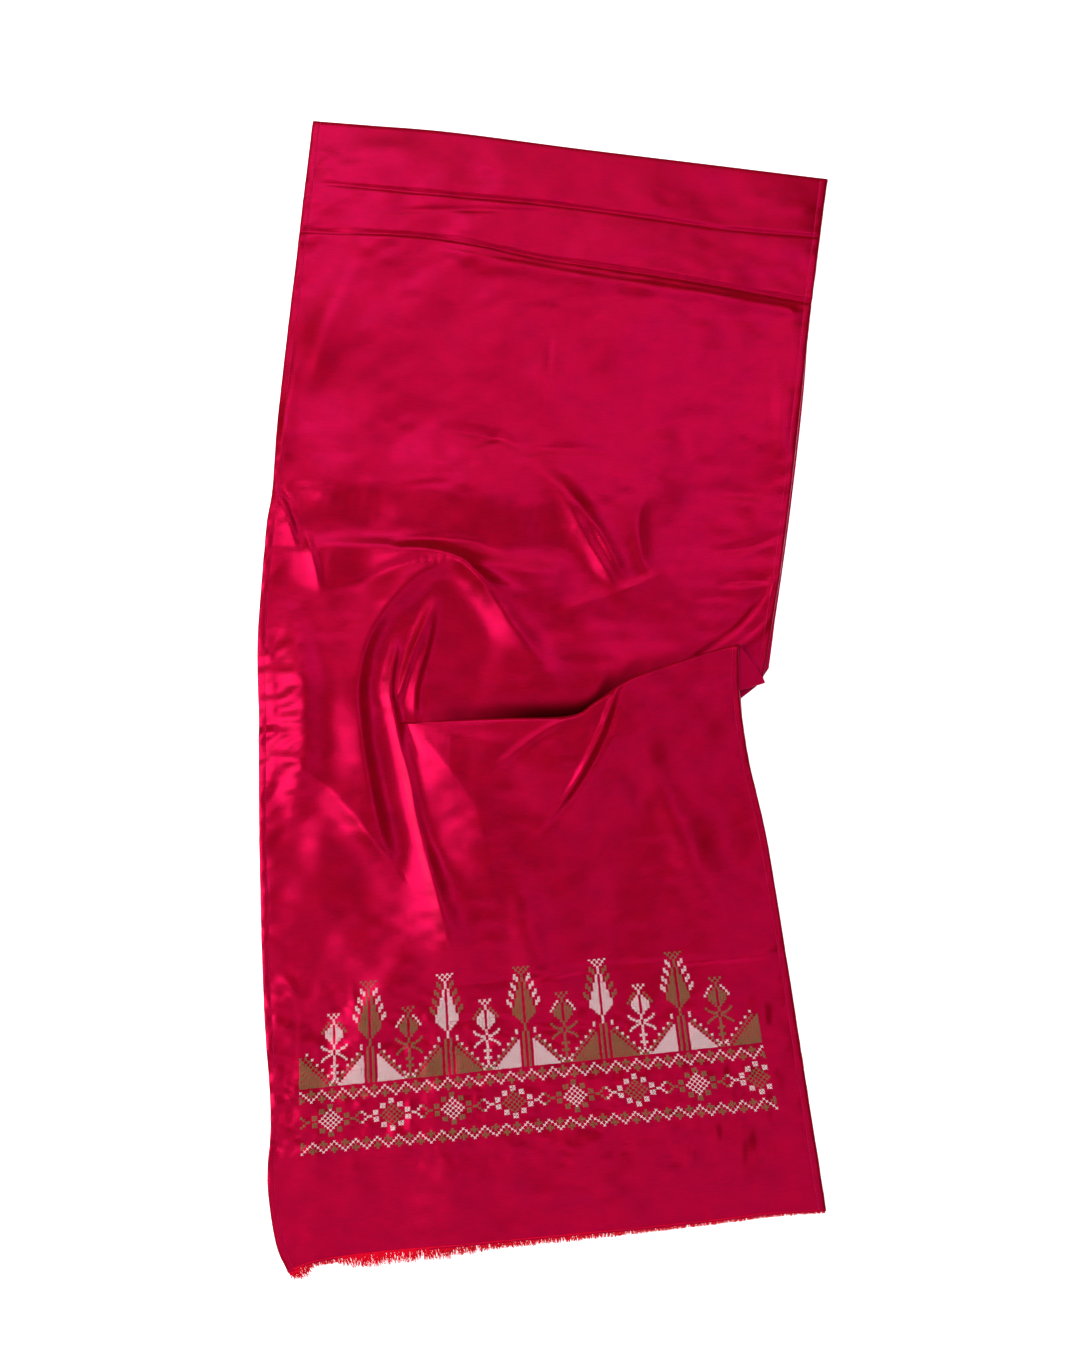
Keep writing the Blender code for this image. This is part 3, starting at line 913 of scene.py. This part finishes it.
# Lights: name, place, width and height, power, colour, aim
LIGHTS = (
    ("left window", (-1.75, -0.2, 1.7), (0.92, 2.4), 55.0, (1.0, 1.0, 0.96), (0.0, 0.0, 0.0)),
    ("high box", (-0.35, 1.32, 2.2), (1.9, 1.34), 14.0, (1.0, 0.9, 0.85), (-0.1, 0.45, 0.0)),
    ("corner box", (-0.55, 1.35, 2.15), (0.5, 0.6), 3.4, (1.0, 0.8, 1.5), (-0.2, 0.4, 0.0)),
    ("far right box", (0.42, 0.62, 2.2), (0.7, 0.7), 4.0, (1.0, 0.8, 1.3), (0.2, 0.2, 0.0)),
    ("near right box", (0.6, -0.26, 2.2), (0.55, 0.4), 1.8, (1.0, 0.8, 1.3), (0.2, -0.1, 0.0)),
    ("near box", (0.0, -1.02, 2.0), (1.8, 0.85), 7.4, (1.0, 0.9, 1.2), (0.0, -0.4, 0.0)),
)


def add_light():
    """A pale sky and the boxes of light that the silk reflects."""
    world = bpy.data.worlds.new("studio")
    bpy.context.scene.world = world
    world.use_nodes = True
    sky = world.node_tree.nodes["Background"]
    sky.inputs["Color"].default_value = (1.0, 1.0, 1.0, 1.0)
    sky.inputs["Strength"].default_value = 0.1
    for light in LIGHTS:
        add_area(*light)
    bpy.context.scene.view_settings.view_transform = "Standard"


def add_floor():
    """The white ground of the photo."""
    bm = bmesh.new()
    bmesh.ops.create_grid(bm, x_segments=1, y_segments=1, size=4.0)
    mesh = bpy.data.meshes.new("floor")
    bm.to_mesh(mesh)
    bm.free()
    floor = bpy.data.objects.new("floor", mesh)
    bpy.context.scene.collection.objects.link(floor)
    material, shader, _ = new_material("pale floor")
    shader.inputs["Base Color"].default_value = (0.93, 0.93, 0.93, 1.0)
    shader.inputs["Roughness"].default_value = 0.9
    shader.inputs["Emission Color"].default_value = (1.0, 1.0, 1.0, 1.0)
    shader.inputs["Emission Strength"].default_value = 0.95
    mesh.materials.append(material)


def new_material(name):
    """A material with its shader and its node tree."""
    material = bpy.data.materials.new(name)
    material.use_nodes = True
    tree = material.node_tree
    return material, tree.nodes["Principled BSDF"], tree


# Layers of the weave: scale across, along and out of the cloth, and detail
WEAVE_LAYERS = (
    # long slubs along the weft
    ((90.0, 900.0, 1.0), 3.0),
    # fine ribs
    ((25.0, 2600.0, 1.0), 1.0),
    # fainter lines along the warp
    ((1500.0, 40.0, 1.0), 1.0),
)


def weave_group():
    """Fine ribs and slubs of the silk along the weft: a height and a tone."""
    group = bpy.data.node_groups.new("silk weave", "ShaderNodeTree")
    group.interface.new_socket("Place", in_out="INPUT", socket_type="NodeSocketVector")
    group.interface.new_socket("Height", in_out="OUTPUT", socket_type="NodeSocketFloat")
    group.interface.new_socket("Tone", in_out="OUTPUT", socket_type="NodeSocketFloat")
    nodes, links = group.nodes, group.links
    given, made = nodes.new("NodeGroupInput"), nodes.new("NodeGroupOutput")
    layers = []
    for scale, detail in WEAVE_LAYERS:
        stretch = nodes.new("ShaderNodeMapping")
        stretch.inputs["Scale"].default_value = scale
        links.new(given.outputs["Place"], stretch.inputs["Vector"])
        noise = nodes.new("ShaderNodeTexNoise")
        noise.inputs["Scale"].default_value = 1.0
        noise.inputs["Detail"].default_value = detail
        links.new(stretch.outputs["Vector"], noise.inputs["Vector"])
        layers.append(noise.outputs["Fac"])
    both = nodes.new("ShaderNodeMath")
    both.operation = "ADD"
    links.new(layers[0], both.inputs[0])
    links.new(layers[1], both.inputs[1])
    height = nodes.new("ShaderNodeMath")
    height.operation = "MULTIPLY_ADD"
    height.inputs[1].default_value = 0.5
    links.new(layers[2], height.inputs[0])
    links.new(both.outputs["Value"], height.inputs[2])
    links.new(height.outputs["Value"], made.inputs["Height"])
    # Broader clouds of tone, as the threads of a dye lot vary
    clouds = nodes.new("ShaderNodeTexNoise")
    clouds.inputs["Scale"].default_value = 55.0
    clouds.inputs["Detail"].default_value = 3.0
    links.new(given.outputs["Place"], clouds.inputs["Vector"])
    mixed = nodes.new("ShaderNodeMath")
    mixed.operation = "ADD"
    links.new(layers[0], mixed.inputs[0])
    links.new(clouds.outputs["Fac"], mixed.inputs[1])
    tone = nodes.new("ShaderNodeMapRange")
    tone.inputs["From Min"].default_value = 0.7
    tone.inputs["From Max"].default_value = 1.3
    links.new(mixed.outputs["Value"], tone.inputs["Value"])
    links.new(tone.outputs["Result"], made.inputs["Tone"])
    return group


def silk_material(name, weave, deep, light):
    """Shot silk: a red body with a magenta gloss, with painted shade where the pleat's shade
    attribute is full: darker, duller and with a dark metallic gloss.
    """
    material, shader, tree = new_material(name)
    nodes, links = tree.nodes, tree.links
    place = nodes.new("ShaderNodeTexCoord")
    woven = nodes.new("ShaderNodeGroup")
    woven.node_tree = weave
    links.new(place.outputs["UV"], woven.inputs["Place"])
    mix = nodes.new("ShaderNodeMix")
    mix.data_type = "RGBA"
    mix.inputs["A"].default_value = (*deep, 1.0)
    mix.inputs["B"].default_value = (*light, 1.0)
    links.new(woven.outputs["Tone"], mix.inputs["Factor"])
    # Painted shade of the pleat: the shade attribute mixes the colour towards near black and raises
    # roughness and metallic, so the pocket stays dark under any light
    painted_shade_in = nodes.new("ShaderNodeAttribute")
    painted_shade_in.attribute_name = "painted_shade"
    shaded = nodes.new("ShaderNodeMix")
    shaded.data_type = "RGBA"
    shaded.inputs["B"].default_value = (0.05, 0.0, 0.0006, 1.0)
    links.new(painted_shade_in.outputs["Fac"], shaded.inputs["Factor"])
    links.new(mix.outputs["Result"], shaded.inputs["A"])
    links.new(shaded.outputs["Result"], shader.inputs["Base Color"])
    dull = nodes.new("ShaderNodeMapRange")
    dull.inputs["To Min"].default_value = 0.28
    dull.inputs["To Max"].default_value = 0.9
    links.new(painted_shade_in.outputs["Fac"], dull.inputs["Value"])
    links.new(dull.outputs["Result"], shader.inputs["Roughness"])
    links.new(painted_shade_in.outputs["Fac"], shader.inputs["Metallic"])
    bump = nodes.new("ShaderNodeBump")
    bump.inputs["Strength"].default_value = 0.22
    bump.inputs["Distance"].default_value = 0.0002
    links.new(woven.outputs["Height"], bump.inputs["Height"])
    links.new(bump.outputs["Normal"], shader.inputs["Normal"])
    shader.inputs["IOR"].default_value = 2.3
    shader.inputs["Specular Tint"].default_value = (1.0, 0.007, 0.13, 1.0)
    shader.inputs["Sheen Weight"].default_value = 0.05
    shader.inputs["Sheen Roughness"].default_value = 0.5
    shader.inputs["Sheen Tint"].default_value = (1.0, 0.02, 0.25, 1.0)
    return material


def thread_material(name, deep, light, roughness):
    """Twisted thread in two tones."""
    material, shader, tree = new_material(name)
    nodes, links = tree.nodes, tree.links
    place = nodes.new("ShaderNodeTexCoord")
    noise = nodes.new("ShaderNodeTexNoise")
    noise.inputs["Scale"].default_value = 900.0
    noise.inputs["Detail"].default_value = 2.0
    links.new(place.outputs["Object"], noise.inputs["Vector"])
    mix = nodes.new("ShaderNodeMix")
    mix.data_type = "RGBA"
    mix.inputs["A"].default_value = (*deep, 1.0)
    mix.inputs["B"].default_value = (*light, 1.0)
    links.new(noise.outputs["Fac"], mix.inputs["Factor"])
    links.new(mix.outputs["Result"], shader.inputs["Base Color"])
    bump = nodes.new("ShaderNodeBump")
    bump.inputs["Strength"].default_value = 0.4
    bump.inputs["Distance"].default_value = 0.0002
    links.new(noise.outputs["Fac"], bump.inputs["Height"])
    links.new(bump.outputs["Normal"], shader.inputs["Normal"])
    shader.inputs["Roughness"].default_value = roughness
    shader.inputs["Specular Tint"].default_value = (*light, 1.0)
    return material


def grid_verts(bm, rows, columns):
    """Vertices of a new grid in order, rows from the top down."""
    made = bmesh.ops.create_grid(
        bm, x_segments=columns - 1, y_segments=rows - 1, size=max(rows, columns)
    )
    return sorted(made["verts"], key=lambda v: (-round(v.co.y, 3), round(v.co.x, 3)))


def add_sheet(bm, points, uv_across, uv_along):
    """Adds an open sheet through a grid of points, with its own measures as UV and each point's
    painted shade of the pleat as an attribute.
    """
    rows, columns = points.shape[:2]
    # Painted shade of the pleat, one value on each vertex
    deep = bm.verts.layers.float.new("painted_shade")
    layer = bm.loops.layers.uv.verify()
    in_order = grid_verts(bm, rows, columns)
    painted_shades = points[..., 3].ravel()
    for vert, place, painted_shade in zip(in_order, metres(points).reshape(-1, 3), painted_shades):
        vert.co = place
        vert[deep] = painted_shade
    rank = {vert: k for k, vert in enumerate(in_order)}
    for face in {face for vert in in_order for face in vert.link_faces}:
        for loop in face.loops:
            row, column = divmod(rank[loop.vert], columns)
            loop[layer].uv = (uv_across[column], uv_along[row])


def add_threads(bm, paths, half_width, thick):
    """Adds threads that lie along paths: half-round strips, each with the same number of points."""
    count, steps = paths.shape[:2]
    ahead = np.gradient(paths[..., :2], axis=1)
    ahead /= np.maximum(np.hypot(ahead[..., 0], ahead[..., 1]), 1e-6)[..., None]
    aside = np.stack([-ahead[..., 1], ahead[..., 0], np.zeros(ahead.shape[:2])], axis=-1)
    up = np.array([0.0, 0.0, 1.0])
    width = np.broadcast_to(half_width, (count, steps))[..., None]
    places = np.stack(
        [
            paths + aside * width - 0.5 * thick * up,
            paths + aside * width * 0.55 + 0.35 * thick * up,
            paths - aside * width * 0.55 + 0.35 * thick * up,
            paths - aside * width - 0.5 * thick * up,
        ],
        axis=2,
    )
    in_order = grid_verts(bm, count * steps, 4)
    for vert, place in zip(in_order, metres(places).reshape(-1, 3)):
        vert.co = place
    between = set()
    for k in range(1, count):
        row = in_order[4 * (k * steps - 1) : 4 * k * steps]
        below = set(in_order[4 * k * steps : 4 * k * steps + 4])
        for vert in row:
            between.update(f for f in vert.link_faces if any(v in below for v in f.verts))
    bmesh.ops.delete(bm, geom=list(between), context="FACES")


def new_piece(name, bm, material):
    """A smooth piece of the scarf from a finished mesh."""
    mesh = bpy.data.meshes.new(name)
    bm.to_mesh(mesh)
    bm.free()
    mesh.materials.append(material)
    mesh.shade_smooth()
    piece = bpy.data.objects.new(name, mesh)
    bpy.context.scene.collection.objects.link(piece)
    return piece


def travelled(points):
    """Millimetres along the first column of a grid of points."""
    steps = np.linalg.norm(np.diff(points[:, 0, :3], axis=0), axis=1)
    return np.concatenate([[0.0], steps.cumsum()])


def silk_cloth(material):
    """The silk that shows, between the seams of its two side hems."""
    across = shares_of(COLUMN_PLACES)
    edge = SEAM_AT / CLOTH_WIDTH
    across = edge + across * (1 - 2 * edge)
    from_seam = np.minimum(across - edge, 1 - edge - across) * CLOTH_WIDTH
    points = cloth_points(across, -SEAM_SINK * np.exp(-((from_seam / SEAM_SINK_REACH) ** 2)))
    bm = bmesh.new()
    add_sheet(bm, points, across * CLOTH_WIDTH * MM, -travelled(points) * MM)
    return new_piece("silk_cloth", bm, material)


def hem_strip(name, side, material):
    """One side hem: the cloth turned under along the edge, a little puffed."""
    section = np.array(HEM_SECTION)
    across = section[:, 0] / CLOTH_WIDTH
    heights = section[:, 1]
    if side > 0:
        across, heights = 1 - across[::-1], heights[::-1]
    points = cloth_points(across, heights)
    edge = 0 if side < 0 else -1
    wander = 0.35 * soft_noise(points[:, edge, 1], points[:, edge, 1], 6.0, 40.0, 11 + side)
    points[:, edge, 0] += wander
    bm = bmesh.new()
    add_sheet(bm, points, across * CLOTH_WIDTH * MM, -travelled(points) * MM)
    return new_piece(name, bm, material)


def hem_stitches(material):
    """Machine stitches along both hems."""
    paths = []
    for share in (STITCH_AT / CLOTH_WIDTH, 1 - STITCH_AT / CLOTH_WIDTH):
        line = cloth_points(np.array([share]), 0.05)[:, 0, :3]
        steps = np.linalg.norm(np.diff(line, axis=0), axis=1)
        along = np.concatenate([[0.0], steps.cumsum()])
        starts = np.arange(4.0, along[-1] - 4.0, STITCH_STEP)
        for start in starts:
            at = start + STITCH_LENGTH * np.array([0.0, 0.5, 1.0])
            path = np.stack([np.interp(at, along, line[:, k]) for k in range(3)], axis=-1)
            path[1, 2] += 0.2
            paths.append(path)
    bm = bmesh.new()
    add_threads(bm, np.array(paths), 0.2, 0.35)
    return new_piece("hem_stitches", bm, material)


# Stitches of the band: columns from left to right, rows from the tree tops down
BAND_COLUMNS = 176
CROSS_HALF_WIDTH = 0.32
CROSS_THICKNESS = 0.5
BAND_ROWS = (
    # row, x and y at the left end, x and y at the right end
    (0.0, -205, -254, 167, -219),
    (36.5, -204, -338, 179, -299.5),
    (63.0, -202, -392, 192, -354),
)
WHITE, GOLD = "white", "gold"
TALL_TREES = ((27, GOLD), (57, WHITE), (87, GOLD), (117, WHITE), (147, GOLD))
SMALL_TREES = ((13, WHITE), (42, GOLD), (72, WHITE), (102, GOLD), (132, WHITE), (162, GOLD))
LEAF_WIDTHS = (1, 1, 1, 2, 2, 2, 3, 3, 3, 4, 4, 4, 3, 2, 1)
SMALL_LEAF_WIDTHS = (1, 2, 3, 3, 3, 2, 1)


def other(colour):
    return GOLD if colour == WHITE else WHITE


def mirrored(stitches, centre, colour):
    """Stitches on both sides of a centre column."""
    sides = {(centre + s * c, r) for c, r in stitches for s in (-1, 1)}
    return [(c, r, colour) for c, r in sides]


def tent(reach):
    """Filled right triangle with its upright side three columns out."""
    return [(3 + k, row) for k in range(reach) for row in range(37 - reach + k, 37)]


def tall_tree(centre, colour):
    """Tall tree on its trunk, with a tent on each side."""
    crown = [(1, 0), (3, 0), (0, 1), (2, 1), (1, 2), (0, 3), (0, 4), (0, 5)]
    leaf = [(c, 6 + r) for r, width in enumerate(LEAF_WIDTHS) for c in range(1, width + 1)]
    stem = [(0, row) for row in (21, 22, 23)]
    buds = []
    for k in range(4):
        column, row = 3 + k, 3 + 3 * k
        buds += [(column, row), (column, row + 1), (column - 1, row + 1), (column - 1, row + 2)]
    trunk = [(1, row) for row in range(24, 37)]
    outline = [(4 + k, 26 + k) for k in range(11)]
    dots = [(3.5, 23), (3.5, 24), (5.2, 25.8), (7.1, 27.8), (9, 29.6), (11, 31.8), (12.8, 34)]
    return (
        mirrored(crown + leaf + stem, centre, colour)
        + mirrored(buds, centre, other(colour))
        + mirrored(trunk + outline, centre, GOLD)
        + mirrored(tent(10), centre, other(colour))
        + mirrored(dots, centre, WHITE)
    )


def small_tree(centre, colour):
    """Small tree with a bow under its leaf."""
    crown = [(0, 11), (2, 11), (1, 12), (0, 13), (0, 14)]
    leaf = [(c, 15 + r) for r, width in enumerate(SMALL_LEAF_WIDTHS) for c in range(1, width + 1)]
    buds = [(2, 14), (3, 15), (3.8, 16.1), (4.6, 17.2)]
    bow = [(0, 22), (0, 23), (1, 24), (2, 24), (3, 23.4), (4, 22.9), (4.8, 22.1)]
    bow += [(1, 25), (2, 25.4), (3, 26), (4, 26.5), (4.7, 27.3)]
    stem = [(0, row) for row in range(26, 35)] + [(1, 29.3), (1, 31.8)]
    foot = [(0.9, 35), (1.7, 35.8)]
    return (
        mirrored(crown + leaf + bow + stem, centre, colour)
        + mirrored(buds, centre, other(colour))
        + mirrored(foot, centre, WHITE)
    )


def zigzag(row, start):
    """White zigzag with a gold cross in every bend."""
    stitches = []
    for column in range(BAND_COLUMNS + 1):
        bend = abs((column + start) % 8 - 4)
        stitches.append((column, row + 2 - bend, WHITE))
        if bend in (0, 4):
            inward = 1 if bend == 4 else -1
            middle = row + inward * 1.2
            stitches += [(column, middle + k, GOLD) for k in (-1, 0, 1)]
            stitches += [(column + k, middle, GOLD) for k in (-1, 1)]
    return stitches


def star(centre, row, middle):
    """Chequered diamond with squares round it and an arm on each side."""
    points = [
        (centre + i, row + j, middle)
        for i in range(-4, 5)
        for j in range(-4, 5)
        if abs(i) + abs(j) <= 4 and (i + j) % 2 == 0
    ]
    squares = [(0, 5.5), (0, -5.5)]
    squares += [(s * 3.2, t * 3.8) for s in (-1, 1) for t in (-1, 1)]
    squares += [(s * 6, t * 1.4) for s in (-1, 1) for t in (-1, 1)]
    for x, y in squares:
        for i in (-0.5, 0.5):
            points += [(centre + x + i, row + y + j, other(middle)) for j in (-0.5, 0.5)]
    arms = [(8, 0), (9, 0), (10, 1), (10, -1), (11, 2), (11, -2)]
    points += [(centre + s * c, row + r, other(middle)) for c, r in arms for s in (-1, 1)]
    return points


def band_stitches():
    """Every stitch of the band once: column, row, colour."""
    stitches = []
    for centre, colour in TALL_TREES:
        stitches += tall_tree(centre, colour)
        stitches.append((centre + 15, 36, GOLD))
    for centre, colour in SMALL_TREES:
        stitches += small_tree(centre, colour)
    for k in range(11):
        stitches += [(k, row, GOLD) for row in range(26 + k, 37)]
        stitches += [(BAND_COLUMNS - k, row, GOLD) for row in range(26 + k, 37)]
        stitches += [(k + 2, 26 + k, GOLD), (BAND_COLUMNS - k - 2, 26 + k, GOLD)]
        if k % 2 == 0:
            stitches += [(k + 2.5, 24.5 + k, WHITE), (BAND_COLUMNS - k - 2.5, 24.5 + k, WHITE)]
    stitches += zigzag(40, 0) + zigzag(60.5, 4)
    for k in range(8):
        stitches += star(11 + 23 * k, 50, WHITE if k % 2 == 0 else GOLD)
    kept = {}
    for column, row, colour in stitches:
        if -0.5 <= column <= BAND_COLUMNS + 0.5:
            kept[(round(2 * column), round(2 * row))] = (column, row, colour)
    return list(kept.values())


def band_places(columns, rows):
    """Table places of counted columns and rows."""
    anchors = np.array(BAND_ROWS, float)
    left_x, left_y, right_x, right_y = (
        np.interp(rows, anchors[:, 0], anchors[:, k]) for k in (1, 2, 3, 4)
    )
    share = columns / BAND_COLUMNS
    return np.stack(
        [left_x + share * (right_x - left_x), left_y + share * (right_y - left_y)], axis=-1
    )


def cross_stitches(name, colour, material):
    """All the crosses of one colour: two short threads each, the second over the first."""
    chosen = np.array([(c, r) for c, r, shade in band_stitches() if shade == colour], float)
    random = np.random.default_rng(21 if colour == WHITE else 22)
    chosen += random.normal(0, 0.07, chosen.shape)
    step = np.linspace(-0.5, 0.5, 5)
    paths, widths = [], []
    for turn, height in ((1, 0.25), (-1, 0.5)):
        reach = random.uniform(0.88, 1.0, (len(chosen), 1))
        columns = chosen[:, :1] + step * reach
        rows = chosen[:, 1:] - turn * step * reach
        plan = band_places(columns, rows)
        level = REST_FACE + relief(plan, "lower", np.full(plan.shape[:2], 99.0))
        level += height * np.cos(np.pi * step) + 0.05
        paths.append(np.concatenate([plan, level[..., None]], axis=-1))
        widths.append(np.full(plan.shape[:2], CROSS_HALF_WIDTH) * (0.8 + 0.2 * np.cos(np.pi * step)))
    bm = bmesh.new()
    add_threads(bm, np.concatenate(paths), np.concatenate(widths), CROSS_THICKNESS)
    return new_piece(name, bm, material)


# Frayed end: share of the width, length of the threads in millimetres
FRAY = (
    (0.0, 6.0),
    (0.03, 10.0),
    (0.05, 3.5),
    (0.09, 4.0),
    (0.12, 9.5),
    (0.30, 9.0),
    (0.38, 5.5),
    (0.55, 4.5),
    (0.75, 3.0),
    (1.0, 2.0),
)
FRAY_THREADS = 2600


def frayed_end(material):
    """Loose warp ends that fall from the cut end to the table."""
    random = np.random.default_rng(31)
    shares = np.sort(random.uniform(0.002, 0.998, FRAY_THREADS))
    length = np.interp(shares, *np.array(FRAY).T) * random.uniform(0.45, 1.15, FRAY_THREADS)
    start = soft_line(CUT_END, shares)
    down = outward(CUT_END, shares)
    lean = random.normal(0, 0.12, FRAY_THREADS)
    lean = lean + 0.22 * soft_noise(shares * 100, shares, 3.0, 1.0, 9)
    curl = random.normal(0, 0.16, FRAY_THREADS)
    step = np.linspace(0, 1, 6)
    turned = lean[:, None] + curl[:, None] * step
    ahead_x = down[:, :1] * np.cos(turned) - down[:, 1:] * np.sin(turned)
    ahead_y = down[:, :1] * np.sin(turned) + down[:, 1:] * np.cos(turned)
    reach = (length[:, None] + 2.0) * step - 2.0
    x = start[:, :1] + ahead_x * reach
    y = start[:, 1:] + ahead_y * reach
    from_edge = np.minimum(shares, 1 - shares)[:, None] * CLOTH_WIDTH + 0 * step
    top = REST_FACE + relief(np.stack([x, y], axis=-1), "lower", from_edge)
    tip = random.uniform(0.4, 1.4, FRAY_THREADS)[:, None]
    level = top * (1 - smooth(step)) + tip * smooth(step)
    paths = np.stack([x, y, level + 0.05], axis=-1)
    bm = bmesh.new()
    add_threads(bm, paths, 0.3 * (1.1 - 0.5 * step), 0.35)
    return new_piece("frayed_end", bm, material)


def main():
    """Dresses the frame's solids."""
    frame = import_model()
    add_camera()
    add_light()
    add_floor()
    weave = weave_group()
    silk = silk_material("crimson shot silk", weave, (0.18, 0.0002, 0.002), (0.30, 0.0003, 0.004))
    hidden = silk_material("hidden shot silk", weave, (0.17, 0.0002, 0.003), (0.28, 0.0003, 0.005))
    seam = thread_material("crimson thread", (0.36, 0.003, 0.045), (0.68, 0.02, 0.12), 0.45)
    white = thread_material("white thread", (0.74, 0.66, 0.62), (0.95, 0.91, 0.86), 0.5)
    gold = thread_material("gold thread", (0.10, 0.09, 0.03), (0.26, 0.235, 0.09), 0.5)
    frayed = thread_material("frayed silk", (0.60, 0.0, 0.008), (0.95, 0.006, 0.035), 0.6)

    cloth = silk_cloth(silk)
    hem_left = hem_strip("turned_hem_left", -1, silk)
    hem_right = hem_strip("turned_hem_right", 1, silk)
    stitched = hem_stitches(seam)
    white_band = cross_stitches("white_cross_stitch", WHITE, white)
    gold_band = cross_stitches("gold_cross_stitch", GOLD, gold)
    fray = frayed_end(frayed)
    for node in ("silk_back", "silk_back_tuck"):
        back = frame["nodes"][node]
        back.data.materials.clear()
        back.data.materials.append(hidden)
    for piece, name, nodes in (
        (cloth, "silk", ("silk_front",)),
        (hem_left, "hem", ("hem_left",)),
        (hem_right, "hem", ("hem_right",)),
        (stitched, "hem_thread", ()),
        (white_band, "thread_white", ()),
        (gold_band, "thread_gold", ()),
        (fray, "fringe", ("fringe",)),
    ):
        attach(piece, "root")
        if nodes:
            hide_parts(*nodes)


main()
